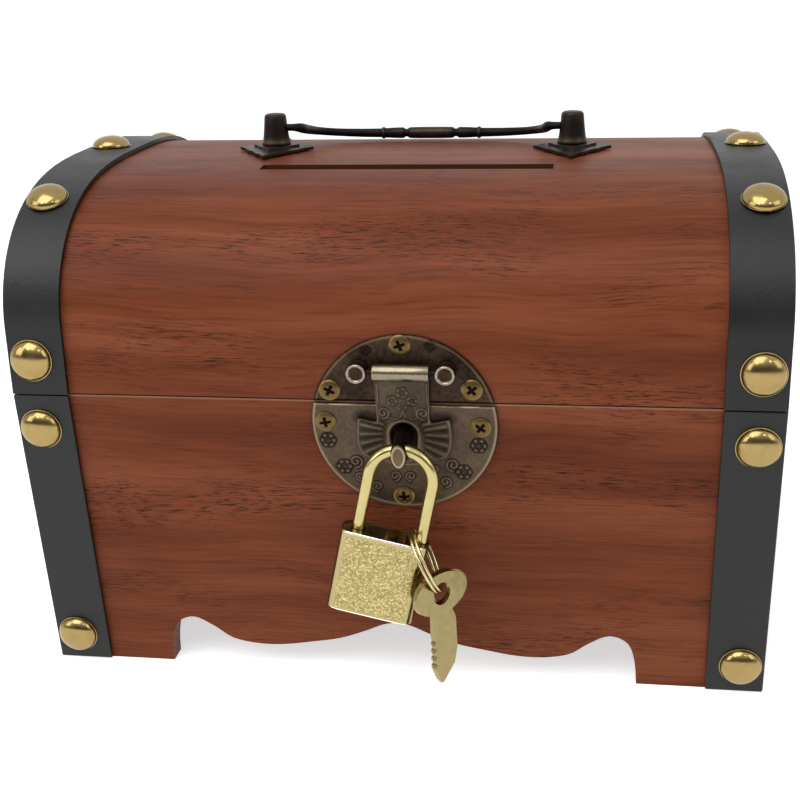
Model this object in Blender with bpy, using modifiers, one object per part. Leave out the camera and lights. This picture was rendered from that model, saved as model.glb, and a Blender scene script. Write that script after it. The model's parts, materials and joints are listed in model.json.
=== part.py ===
"""Small wooden lock box: tapered base, arched lid with a coin slot, nailed straps,
a round two-part hasp lock with a padlock and its keys, and a folding bail handle.

Metres, +Z up. The front faces -Y, the width lies along X, and the box stands on z = 0.
The lid turns on two butt hinges along the back of the seam.
"""
import math

import bmesh
import bpy
from mathutils import Matrix, Vector

# Box body
BOX_WIDTH = 0.200
SEAM_DEPTH = 0.1434
FOOT_DEPTH = 0.1232
SEAM_HEIGHT = 0.0846
FRONT_BOARD = 0.006
END_BOARD = 0.0095
FLOOR_BOARD = 0.004
FLOOR_HEIGHT = 0.0175
APRON_HEIGHT = 0.0165
APRON_HALF_SPAN = 0.066
APRON_SHARES = (
    (1.0, 0.0), (0.99, 0.45), (0.96, 0.80), (0.885, 0.93), (0.80, 0.76), (0.72, 0.53),
    (0.61, 0.44), (0.50, 0.445), (0.385, 0.52), (0.25, 0.63), (0.14, 0.80), (0.06, 0.95), (0.0, 1.0),
)

# Lid
LID_WALL = 0.018
CROWN_RISE = 0.0349
CROWN_POWER_SHARE = 0.62
CROWN_STEPS = 40
SHELL_WALL = 0.005
SEAM_GAP = 0.0004
SLOT_LENGTH = 0.081
SLOT_WIDTH = 0.0052
SLOT_FORWARD = 0.0257

# Clearances
FIT_GAP = 0.0003
OVERRUN = 0.003
EDGE_INSET = 0.0002
CURVE_WELD_SHARE = 30
SHARP_EDGE_DEG = 35.0

# Straps and their nails
STRAP_WIDTH = 0.0152
STRAP_THICKNESS = 0.0012
NAIL_INSET = 0.0066
NAIL_HEAD_RADIUS = 0.0057
NAIL_HEAD_RISE = 0.0030
NAIL_SHANK_RADIUS = 0.0009
NAIL_LENGTH = 0.0120
NAIL_SIDES = 16
NAIL_RINGS = 3
SEAM_NAIL_ABOVE = 0.0096
SEAM_NAIL_BELOW = 0.0097
FOOT_NAIL_HEIGHT = 0.0088
CROWN_NAIL_SHARE = 0.307

# Lock plates
LOCK_OFFSET = 0.0048
PLATE_RADIUS = 0.0242
PLATE_THICKNESS = 0.0008
PLATE_DROP = 0.0062
PLATE_SIDES = 64
PLATE_SPLIT = 0.0009

# Hasp
KNUCKLE_RADIUS = 0.0022
KNUCKLE_LENGTH = 0.0144
KNUCKLE_ABOVE_SEAM = 0.0088
HASP_PIN_RADIUS = 0.0007
FLAP_THICKNESS = 0.0009
FLAP_STAND_OFF = 0.0004
FLAP_LENGTH = 0.0266
FLAP_NECK_SHARE = 0.53
WING_HALF_SPAN = 0.0121
WING_SHARES = ((0.53, 0.585), (0.495, 0.98), (0.60, 1.02), (0.76, 1.03), (0.88, 0.92),
               (0.93, 0.72), (0.955, 0.45), (1.0, 0.27))
RIVET_OFFSET = 0.01125
RIVET_RADIUS = 0.0026
RIVET_HEIGHT = 0.0042
RIVET_RIM = 0.0006
RIVET_RECESS = 0.0005
RIVET_SHANK_RADIUS = 0.0012
RIVET_SHANK = 0.0035

# Staple
STAPLE_BELOW_HINGE = 0.0183
STAPLE_WIDTH = 0.0038
STAPLE_HEIGHT = 0.0066
STAPLE_WIRE_OUT = 0.0089
STAPLE_HOLE_RADIUS = 0.00215
STAPLE_HOLE_RAISE = 0.0005
STAPLE_END_WALL = 0.0008
STAPLE_ROOT = 0.0045
FLAP_HOLE_PAST = 0.0028
FLAP_HOLE_SIDE = 0.00125

# Handle
POST_SPACING = 0.0870
HANDLE_OFFSET = 0.0014
POST_HEIGHT = 0.0109
POST_BASE_RADIUS = 0.0043
POST_TOP_RADIUS = 0.0032
POST_PIVOT_HEIGHT = 0.0068
POST_SHANK_RADIUS = 0.0015
ROSETTE_HALF_WIDTH = 0.0112
ROSETTE_HALF_DEPTH = 0.0178
ROSETTE_THICKNESS = 0.0009
ROSETTE_STEP = 0.0007
ROSETTE_STEP_SHARE = 0.62
ROSETTE_SCALLOP_SHARE = 0.055
ROSETTE_WAVES = 3
ROSETTE_POINTS = 9
NUT_RADIUS = 0.0034
NUT_HEIGHT = 0.0026
NUT_SIDES = 6
BAIL_REACH = 0.0225
BAIL_WIRE = 0.0011
BAIL_GRIP = 0.00175
BAIL_PIN_DEPTH = 0.0014
BAIL_LIFT_DEG = 12.3
# Across, forward and thickness along half the bail, from a pin to the beaded grip
BAIL_ARM_SHARES = (
    (1.0, 0.0, 0.66), (0.955, 0.10, 0.86), (0.93, 0.34, 0.84), (0.87, 0.60, 0.74),
    (0.74, 0.84, 0.72), (0.58, 0.965, 0.78), (0.46, 1.0, 0.82),
)
BAIL_GRIP_SHARES = (
    (0.405, 0.84), (0.395, 1.10), (0.375, 1.10), (0.365, 0.88), (0.340, 0.98), (0.225, 1.02),
    (0.212, 0.76), (0.190, 0.76), (0.177, 1.02), (0.060, 1.06),
)

# Padlock
PADLOCK_ROLL_DEG = 12.2
SHACKLE_WIRE = 0.00162
SHACKLE_HALF_SPAN = 0.00825
SHACKLE_DROP = 0.0238
LONG_LEG = 0.0115
SHORT_LEG = 0.0045
PADLOCK_WIDTH = 0.0231
PADLOCK_HEIGHT = 0.0228
PADLOCK_DEPTH = 0.0080
PADLOCK_SHIFT = 0.0010
PADLOCK_ROUND = 0.0030
KEYWAY_WIDTH = 0.0058
KEYWAY_THICKNESS = 0.0018
KEYWAY_DEPTH = 0.0100

# Key ring and keys
RING_RADIUS = 0.0088
RING_WIRE = 0.00042
RING_PITCH = 0.00105
RING_TURNS = 2
RING_POINTS = 40
RING_TILT_DEG = 35.0
RING_YAW_DEG = 9.0
RING_FROM_LEG = 0.0010
RING_SINK = 0.0058
KEY_THICKNESS = 0.0012
KEY_BOW_HALF_WIDTH = 0.0093
KEY_BOW_HALF_HEIGHT = 0.0056
KEY_HOLE_RADIUS = 0.0030
KEY_BLADE_LEFT = 0.0036
KEY_BLADE_RIGHT = 0.0046
KEY_NECK = 0.0034
KEY_BLADE_LENGTH = 0.0190
KEY_TOOTH = 0.0007
KEY_TEETH = 4
KEY_TEETH_START_SHARE = 0.34
KEY_TOOTH_SHARES = ((0.0, 0.0), (0.4, 1.0), (0.7, 0.0))
KEY_POINT = 0.0018
KEY_SPACING = 0.00235
KEY_FORWARD = 0.0025
KEY_DROP = 0.0005
KEY_YAW_DEG = 52.0
KEY_LEAN_DEG = -1.0
KEY_TIP_DEG = -4.0
KEY_FAN_DEG = 2.0

# Back hinges
HINGE_OFFSET = 0.052
LEAF_WIDTH = 0.024
LEAF_HEIGHT = 0.0105
LEAF_THICKNESS = 0.0008
LEAF_STAND = 0.0004
BARREL_RADIUS = 0.0019
HINGE_PIN_RADIUS = 0.0008
KNUCKLE_SHARE = 0.34

# Values worked out from the sizes above
TAPER = (SEAM_DEPTH - FOOT_DEPTH) / 2 / SEAM_HEIGHT
LEAN = math.atan(TAPER)
HALF_SEAM = SEAM_DEPTH / 2
HALF_WIDTH = BOX_WIDTH / 2
SPRING_HEIGHT = SEAM_HEIGHT + LID_WALL
CROWN_HEIGHT = SPRING_HEIGHT + CROWN_RISE
BARREL_Y = HALF_SEAM + FIT_GAP + BARREL_RADIUS


def reset_scene():
    """Empty the scene and make the collections for the box and for its cutters."""
    for thing in list(bpy.data.objects):
        bpy.data.objects.remove(thing, do_unlink=True)
    box = bpy.data.collections.new("lock_box")
    tools = bpy.data.collections.new("cutters")
    bpy.context.scene.collection.children.link(box)
    bpy.context.scene.collection.children.link(tools)
    return box, tools


PARTS, CUTTERS = reset_scene()


def surface(name, color, roughness, metallic):
    """A plain Principled BSDF material."""
    made = bpy.data.materials.new(name)
    made.use_nodes = True
    shader = made.node_tree.nodes["Principled BSDF"]
    shader.inputs["Base Color"].default_value = (*color, 1.0)
    shader.inputs["Roughness"].default_value = roughness
    shader.inputs["Metallic"].default_value = metallic
    return made


WOOD = surface("mahogany_veneer", (0.235, 0.075, 0.032), 0.42, 0.0)
INNER_WOOD = surface("inner_board", (0.190, 0.062, 0.028), 0.60, 0.0)
LEATHER = surface("black_leather", (0.030, 0.029, 0.028), 0.48, 0.0)
BRASS = surface("polished_brass", (0.720, 0.520, 0.220), 0.18, 1.0)
DARK_BRONZE = surface("dark_bronze", (0.045, 0.033, 0.025), 0.38, 1.0)
BRONZE = surface("antique_bronze", (0.110, 0.088, 0.060), 0.40, 1.0)
PALE_BRASS = surface("pale_brass", (0.620, 0.520, 0.270), 0.24, 1.0)
STEEL = surface("plated_steel", (0.500, 0.470, 0.400), 0.28, 1.0)


def keep(name, mesh, skin, cutter=False):
    """Put a mesh into the scene as a part of the box, or as a hidden cutter."""
    made = bpy.data.objects.new(name, mesh)
    if cutter:
        CUTTERS.objects.link(made)
        made.hide_render = True
        made.display_type = "WIRE"
        return made
    PARTS.objects.link(made)
    mesh.shade_smooth()
    mesh.set_sharp_from_angle(angle=math.radians(SHARP_EDGE_DEG))
    mesh.materials.clear()
    mesh.materials.append(skin)
    return made


def finish_mesh(bm, name):
    """Turn a bmesh into mesh data with all faces pointing outward."""
    bmesh.ops.recalc_face_normals(bm, faces=bm.faces)
    mesh = bpy.data.meshes.new(name)
    bm.to_mesh(mesh)
    bm.free()
    return mesh


def curve_mesh(curve_object, name):
    """The welded mesh of a curve, with the curve removed."""
    graph = bpy.context.evaluated_depsgraph_get()
    mesh = bpy.data.meshes.new_from_object(curve_object.evaluated_get(graph))
    bm = bmesh.new()
    bm.from_mesh(mesh)
    bmesh.ops.remove_doubles(bm, verts=bm.verts, dist=FIT_GAP / CURVE_WELD_SHARE)
    bpy.data.meshes.remove(mesh)
    bpy.data.objects.remove(curve_object, do_unlink=True)
    return finish_mesh(bm, name)


def flat_mesh(name, loops, thickness):
    """A flat outline in XY with any holes, extruded evenly to both sides of z = 0."""
    data = bpy.data.curves.new(name, "CURVE")
    data.dimensions = "2D"
    data.fill_mode = "BOTH"
    data.extrude = thickness / 2
    for loop in loops:
        spline = data.splines.new("POLY")
        spline.points.add(len(loop) - 1)
        for point, (x, y) in zip(spline.points, loop):
            point.co = (x, y, 0.0, 1.0)
        spline.use_cyclic_u = True
    guide = bpy.data.objects.new(name, data)
    CUTTERS.objects.link(guide)
    return curve_mesh(guide, name)


def wire_mesh(name, points, radii, resolution=2, cyclic=False):
    """A round bar along a line of points, with a radius at each point."""
    data = bpy.data.curves.new(name, "CURVE")
    data.dimensions = "3D"
    data.bevel_depth = max(radii)
    data.bevel_resolution = resolution
    data.use_fill_caps = not cyclic
    spline = data.splines.new("POLY")
    spline.points.add(len(points) - 1)
    for point, place, radius in zip(spline.points, points, radii):
        point.co = (*place, 1.0)
        point.radius = radius / max(radii)
    spline.use_cyclic_u = cyclic
    guide = bpy.data.objects.new(name, data)
    CUTTERS.objects.link(guide)
    return curve_mesh(guide, name)


def block_mesh(name, size, centre=(0.0, 0.0, 0.0)):
    """A rectangular block."""
    bm = bmesh.new()
    bmesh.ops.create_cube(bm, size=1.0)
    bmesh.ops.scale(bm, vec=size, verts=bm.verts)
    bmesh.ops.translate(bm, vec=centre, verts=bm.verts)
    return finish_mesh(bm, name)


def rod_mesh(name, radius, length, sides=24, centre=(0.0, 0.0, 0.0), axis="Z"):
    """A round rod along one axis."""
    turns = {"X": Matrix.Rotation(math.pi / 2, 4, "Y"), "Y": Matrix.Rotation(math.pi / 2, 4, "X"),
             "Z": Matrix.Identity(4)}
    bm = bmesh.new()
    bmesh.ops.create_cone(bm, cap_ends=True, segments=sides, radius1=radius, radius2=radius,
                          depth=length, matrix=Matrix.Translation(centre) @ turns[axis])
    return finish_mesh(bm, name)


def turned(name, profile, skin, sides):
    """A turned piece about Z: its profile lies at +X and runs from top to bottom."""
    mesh = bpy.data.meshes.new(name)
    points = [(x, 0.0, z) for x, z in profile]
    mesh.from_pydata(points, [(k, k + 1) for k in range(len(points) - 1)], [])
    made = keep(name, mesh, skin)
    screw = made.modifiers.new("turn", "SCREW")
    screw.steps = sides
    screw.render_steps = sides
    screw.use_merge_vertices = True
    screw.merge_threshold = FIT_GAP / CURVE_WELD_SHARE
    return made


def joined(meshes, name):
    """Several separate meshes as one, for a cutter with many shapes."""
    bm = bmesh.new()
    for mesh in meshes:
        bm.from_mesh(mesh)
    return finish_mesh(bm, name)


def boolean(target, tool, operation="DIFFERENCE"):
    """Cut a target with a tool, or join the tool to it."""
    step = target.modifiers.new(operation.lower(), "BOOLEAN")
    step.operation = operation
    step.object = tool
    step.solver = "EXACT"


def rounded(made, width, segments=2, angle_deg=40.0):
    """A small bevel on the sharp edges."""
    bevel = made.modifiers.new("bevel", "BEVEL")
    bevel.width = width
    bevel.segments = segments
    bevel.limit_method = "ANGLE"
    bevel.angle_limit = math.radians(angle_deg)


def pivot(name, parent=None, matrix=None):
    """An empty that carries the pieces of one group."""
    made = bpy.data.objects.new(name, None)
    made.empty_display_size = NAIL_HEAD_RADIUS
    PARTS.objects.link(made)
    made.parent = parent
    if matrix is not None:
        made.matrix_basis = matrix
    return made


def hang(made, parent):
    """Place a piece that was made in its parent's own frame."""
    made.parent = parent
    return made


def box_place(made, parent):
    """Parent a piece that was made in the box's frame and keep it where it is."""
    chain, node = Matrix.Identity(4), parent
    while node is not None and node is not FRAME:
        chain = node.matrix_basis @ chain
        node = node.parent
    made.parent = parent
    made.matrix_parent_inverse = chain.inverted()
    return made


def upright(mesh):
    """Stand an outline drawn in XY on its edge: its Y becomes height, its Z points to the front."""
    mesh.transform(Matrix.Rotation(math.pi / 2, 4, "X"))
    return mesh


def sideways(mesh):
    """Stand an outline drawn as depth and height across the width of the box."""
    mesh.transform(Matrix.Rotation(math.pi / 2, 4, "Z") @ Matrix.Rotation(math.pi / 2, 4, "X"))
    return mesh


def sheared(mesh, side):
    """Lean an upright board with the taper of the base: side -1 is the front, 1 the back."""
    lean = Matrix.Identity(4)
    lean[1][2] = side * TAPER
    mesh.transform(lean)
    return mesh


def smooth_line(points, steps):
    """Points of a smooth open line through the given ones."""
    line = []
    padded = [points[0], *points, points[-1]]
    for k in range(1, len(padded) - 2):
        a, b, c, d = (Vector(p) for p in padded[k - 1:k + 3])
        for i in range(steps):
            t = i / steps
            line.append(tuple(0.5 * (2 * b + (c - a) * t + (2 * a - 5 * b + 4 * c - d) * t * t
                                     + (3 * b - a - 3 * c + d) * t ** 3)))
    line.append(tuple(points[-1]))
    return line


def mitred(points, offset):
    """An open line in a plane, moved to the left of its travel with even corners."""
    moved = []
    for k, point in enumerate(points):
        here = Vector(point)
        normals = []
        for a, b in ((k - 1, k), (k, k + 1)):
            if a >= 0 and b < len(points):
                run = (Vector(points[b]) - Vector(points[a])).normalized()
                normals.append(Vector((-run.y, run.x)))
        middle = sum(normals, Vector((0.0, 0.0))).normalized()
        moved.append(tuple(here + middle * offset / middle.dot(normals[0])))
    return moved


def front_depth(height):
    """Distance of the base's outer face from the middle plane at a height."""
    return FOOT_DEPTH / 2 + TAPER * height


def lid_section(offset=0.0):
    """The lid's outline from the front of the seam over the crown to the back."""
    foot = SEAM_HEIGHT + SEAM_GAP / 2
    line = [(-HALF_SEAM, foot)]
    for k in range(CROWN_STEPS + 1):
        turn = math.pi * k / CROWN_STEPS
        along = math.cos(turn)
        depth = -math.copysign(abs(along) ** CROWN_POWER_SHARE, along) * HALF_SEAM
        line.append((depth, SPRING_HEIGHT + CROWN_RISE * max(math.sin(turn), 0.0)))
    line.append((HALF_SEAM, foot))
    return mitred(line, offset)


def lid_surface(depth):
    """Height and outward direction of the lid's outside at a depth in front of the crown."""
    line = lid_section()
    for (y0, z0), (y1, z1) in zip(line, line[1:]):
        if y0 <= depth <= y1 and y1 > y0:
            run = Vector((y1 - y0, z1 - z0)).normalized()
            height = z0 + (z1 - z0) * (depth - y0) / (y1 - y0)
            return height, Vector((0.0, -run.y, run.x))
    raise ValueError(depth)


def nail_places():
    """Every nail as its name, foot point on the strap, outward direction and carrier."""
    lift = FIT_GAP + STRAP_THICKNESS + FIT_GAP
    places = []
    for side, side_name in ((-1, "left"), (1, "right")):
        x = side * (HALF_WIDTH - NAIL_INSET)
        height, out = lid_surface(0.0)
        places.append((f"nail_lid_{side_name}_crown", Vector((x, 0.0, height)) + out * lift, out, "lid"))
        for face, face_name in ((-1, "front"), (1, "back")):
            shoulder = -HALF_SEAM * math.cos(math.pi * CROWN_NAIL_SHARE) ** CROWN_POWER_SHARE
            height, out = lid_surface(shoulder)
            turn = Vector((0.0, -face * out.y, out.z))
            places.append((f"nail_lid_{side_name}_{face_name}_upper",
                           Vector((x, -face * shoulder, height)) + turn * lift, turn, "lid"))
            flat = Vector((0.0, face, 0.0))
            places.append((f"nail_lid_{side_name}_{face_name}_lower",
                           Vector((x, face * HALF_SEAM, SEAM_HEIGHT + SEAM_NAIL_ABOVE)) + flat * lift,
                           flat, "lid"))
            lean = Vector((0.0, face * math.cos(LEAN), -math.sin(LEAN)))
            for height, level in ((SEAM_HEIGHT - SEAM_NAIL_BELOW, "upper"), (FOOT_NAIL_HEIGHT, "lower")):
                foot = Vector((x, face * front_depth(height), height))
                places.append((f"nail_base_{side_name}_{face_name}_{level}", foot + lean * lift,
                               lean, "base"))
    return places


def nail_profile():
    """Dome, flat underside, round shank and point."""
    dome = [(NAIL_HEAD_RADIUS * math.sin(math.pi / 2 * k / NAIL_RINGS),
             NAIL_HEAD_RISE * math.cos(math.pi / 2 * k / NAIL_RINGS)) for k in range(NAIL_RINGS + 1)]
    tip = NAIL_SHANK_RADIUS * 2
    return dome + [(NAIL_SHANK_RADIUS, 0.0), (NAIL_SHANK_RADIUS, tip - NAIL_LENGTH),
                   (0.0, -NAIL_LENGTH)]


def make_nails(carriers):
    """The domed strap nails, and one cutter with their holes for each carrier."""
    holes = {"lid": [], "base": []}
    for name, foot, out, carrier in nail_places():
        turn = out.to_track_quat("Z", "Y").to_matrix().to_4x4()
        nail = turned(name, nail_profile(), BRASS, NAIL_SIDES)
        nail.matrix_basis = Matrix.Translation(foot) @ turn
        box_place(nail, carriers[carrier])
        reach = NAIL_LENGTH + FIT_GAP + OVERRUN
        hole = rod_mesh(name, NAIL_SHANK_RADIUS + FIT_GAP, reach, NAIL_SIDES // 2,
                        (0.0, 0.0, OVERRUN - reach / 2))
        hole.transform(Matrix.Translation(foot) @ turn)
        holes[carrier].append(hole)
    return {carrier: box_place(keep(f"{carrier}_nail_holes", joined(meshes, carrier), None, True),
                               carriers[carrier]) for carrier, meshes in holes.items()}


def make_base(holes):
    """Front, back, end and floor boards of the tapered base."""
    top = SEAM_HEIGHT - SEAM_GAP / 2
    apron = [(x * APRON_HALF_SPAN, z * APRON_HEIGHT) for x, z in APRON_SHARES]
    half = smooth_line(apron, 4)
    outline = [(-HALF_WIDTH, 0.0)] + [(-x, z) for x, z in half] + half[-2::-1] + [(HALF_WIDTH, 0.0)]
    outline += [(HALF_WIDTH, top), (-HALF_WIDTH, top)]
    plain = [(-HALF_WIDTH, 0.0), (HALF_WIDTH, 0.0), (HALF_WIDTH, top), (-HALF_WIDTH, top)]
    for name, line, side in (("front_board", outline, -1), ("back_board", plain, 1)):
        mesh = upright(flat_mesh(name, [line], FRONT_BOARD))
        mesh.transform(Matrix.Translation((0.0, side * (FOOT_DEPTH - FRONT_BOARD) / 2, 0.0)))
        board = box_place(keep(name, sheared(mesh, side), WOOD), BASE)
        boolean(board, holes)
    inner_foot = FOOT_DEPTH / 2 - FRONT_BOARD - FIT_GAP
    inner_seam = inner_foot + TAPER * top
    line = [(-inner_foot, 0.0), (inner_foot, 0.0), (inner_seam, top), (-inner_seam, top)]
    for name, side in (("end_board_left", -1), ("end_board_right", 1)):
        mesh = sideways(flat_mesh(name, [line], END_BOARD))
        mesh.transform(Matrix.Translation((side * (HALF_WIDTH - END_BOARD / 2), 0.0, 0.0)))
        board = box_place(keep(name, mesh, WOOD), BASE)
        boolean(board, holes)
    floor_half = HALF_WIDTH - END_BOARD - FIT_GAP
    floor_depth = inner_foot + TAPER * FLOOR_HEIGHT
    mesh = block_mesh("floor_board", (2 * floor_half, 2 * floor_depth, FLOOR_BOARD),
                      (0.0, 0.0, FLOOR_HEIGHT + FLOOR_BOARD / 2))
    box_place(keep("floor_board", mesh, INNER_WOOD), BASE)


def swept(name, line, x_from, x_to, skin, wall):
    """A thin wall that follows a line of depth and height across part of the width."""
    bm = bmesh.new()
    rows = [[bm.verts.new((x, y, z)) for y, z in line] for x in (x_from, x_to)]
    for k in range(len(line) - 1):
        bm.faces.new((rows[0][k], rows[1][k], rows[1][k + 1], rows[0][k + 1]))
    mesh = bpy.data.meshes.new(name)
    bm.to_mesh(mesh)
    bm.free()
    made = keep(name, mesh, skin)
    solid = made.modifiers.new("wall", "SOLIDIFY")
    solid.thickness = wall
    solid.offset = -1.0
    solid.use_even_offset = True
    return made


def make_lid(holes):
    """Arched shell with the coin slot, and the two end panels inside it."""
    shell = box_place(swept("lid_shell", lid_section(), -HALF_WIDTH, HALF_WIDTH, WOOD, SHELL_WALL), LID)
    slot_z, slot_out = lid_surface(-SLOT_FORWARD)
    slot = block_mesh("coin_slot", (SLOT_LENGTH, SLOT_WIDTH, 2 * (SHELL_WALL + OVERRUN)))
    slot.transform(Matrix.Translation((0.0, -SLOT_FORWARD, slot_z))
                   @ slot_out.to_track_quat("Z", "Y").to_matrix().to_4x4()
                   @ Matrix.Rotation(slot_turn(slot_out), 4, "Z"))
    boolean(shell, box_place(keep("coin_slot", slot, None, True), LID))
    boolean(shell, holes)
    line = mitred(lid_section(), -(SHELL_WALL + FIT_GAP))
    for name, side in (("lid_end_left", -1), ("lid_end_right", 1)):
        mesh = sideways(flat_mesh(name, [line], END_BOARD))
        mesh.transform(Matrix.Translation((side * (HALF_WIDTH - END_BOARD / 2), 0.0, 0.0)))
        panel = box_place(keep(name, mesh, WOOD), LID)
        boolean(panel, holes)
    return shell


def slot_turn(out):
    """The turn about a direction that brings its track rotation's X axis back to the box's X."""
    x_axis = out.to_track_quat("Z", "Y").to_matrix() @ Vector((1.0, 0.0, 0.0))
    y_axis = out.to_track_quat("Z", "Y").to_matrix() @ Vector((0.0, 1.0, 0.0))
    return math.atan2(y_axis.x, x_axis.x)


def make_straps(holes):
    """Leather straps: one over each end of the lid, one down each end of the front and back."""
    over = lid_section(FIT_GAP + STRAP_THICKNESS)
    tall = SEAM_HEIGHT - SEAM_GAP / 2 - FIT_GAP
    for side, side_name in ((-1, "left"), (1, "right")):
        outer = side * (HALF_WIDTH - FIT_GAP)
        inner = outer - side * STRAP_WIDTH
        strap = swept(f"lid_strap_{side_name}", over, min(outer, inner), max(outer, inner),
                      LEATHER, STRAP_THICKNESS)
        boolean(box_place(strap, LID), holes["lid"])
        for face, face_name in ((-1, "front"), (1, "back")):
            name = f"base_strap_{side_name}_{face_name}"
            stand = FOOT_DEPTH / 2 + FIT_GAP + STRAP_THICKNESS / 2
            mesh = block_mesh(name, (STRAP_WIDTH, STRAP_THICKNESS, tall),
                              ((outer + inner) / 2, face * stand, FIT_GAP + tall / 2))
            strap = box_place(keep(name, sheared(mesh, face), LEATHER), BASE)
            boolean(strap, holes["base"])


def disc_part(upper):
    """Outline of one half of the round lock plate, in the frame that starts at the seam line."""
    centre = -PLATE_DROP
    edge = PLATE_SPLIT / 2 if upper else -PLATE_SPLIT / 2
    dip = math.asin((edge - centre) / PLATE_RADIUS)
    start, end = (dip, math.pi - dip) if upper else (math.pi - dip, 2 * math.pi + dip)
    steps = int(PLATE_SIDES * (end - start) / (2 * math.pi))
    return [(PLATE_RADIUS * math.cos(start + (end - start) * k / steps),
             centre + PLATE_RADIUS * math.sin(start + (end - start) * k / steps))
            for k in range(steps + 1)]


def oval(half_width, half_height, centre_y=0.0, steps=8):
    """A slot outline with round ends at its top and bottom."""
    straight = half_height - half_width
    points = []
    for start, lift in ((0.0, straight), (math.pi, -straight)):
        for k in range(steps + 1):
            turn = start + math.pi * k / steps
            points.append((half_width * math.cos(turn), centre_y + lift + half_width * math.sin(turn)))
    return points


def circle(radius, x=0.0, y=0.0, sides=24):
    """A round outline."""
    return [(x + radius * math.cos(2 * math.pi * k / sides),
             y + radius * math.sin(2 * math.pi * k / sides)) for k in range(sides)]


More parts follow.
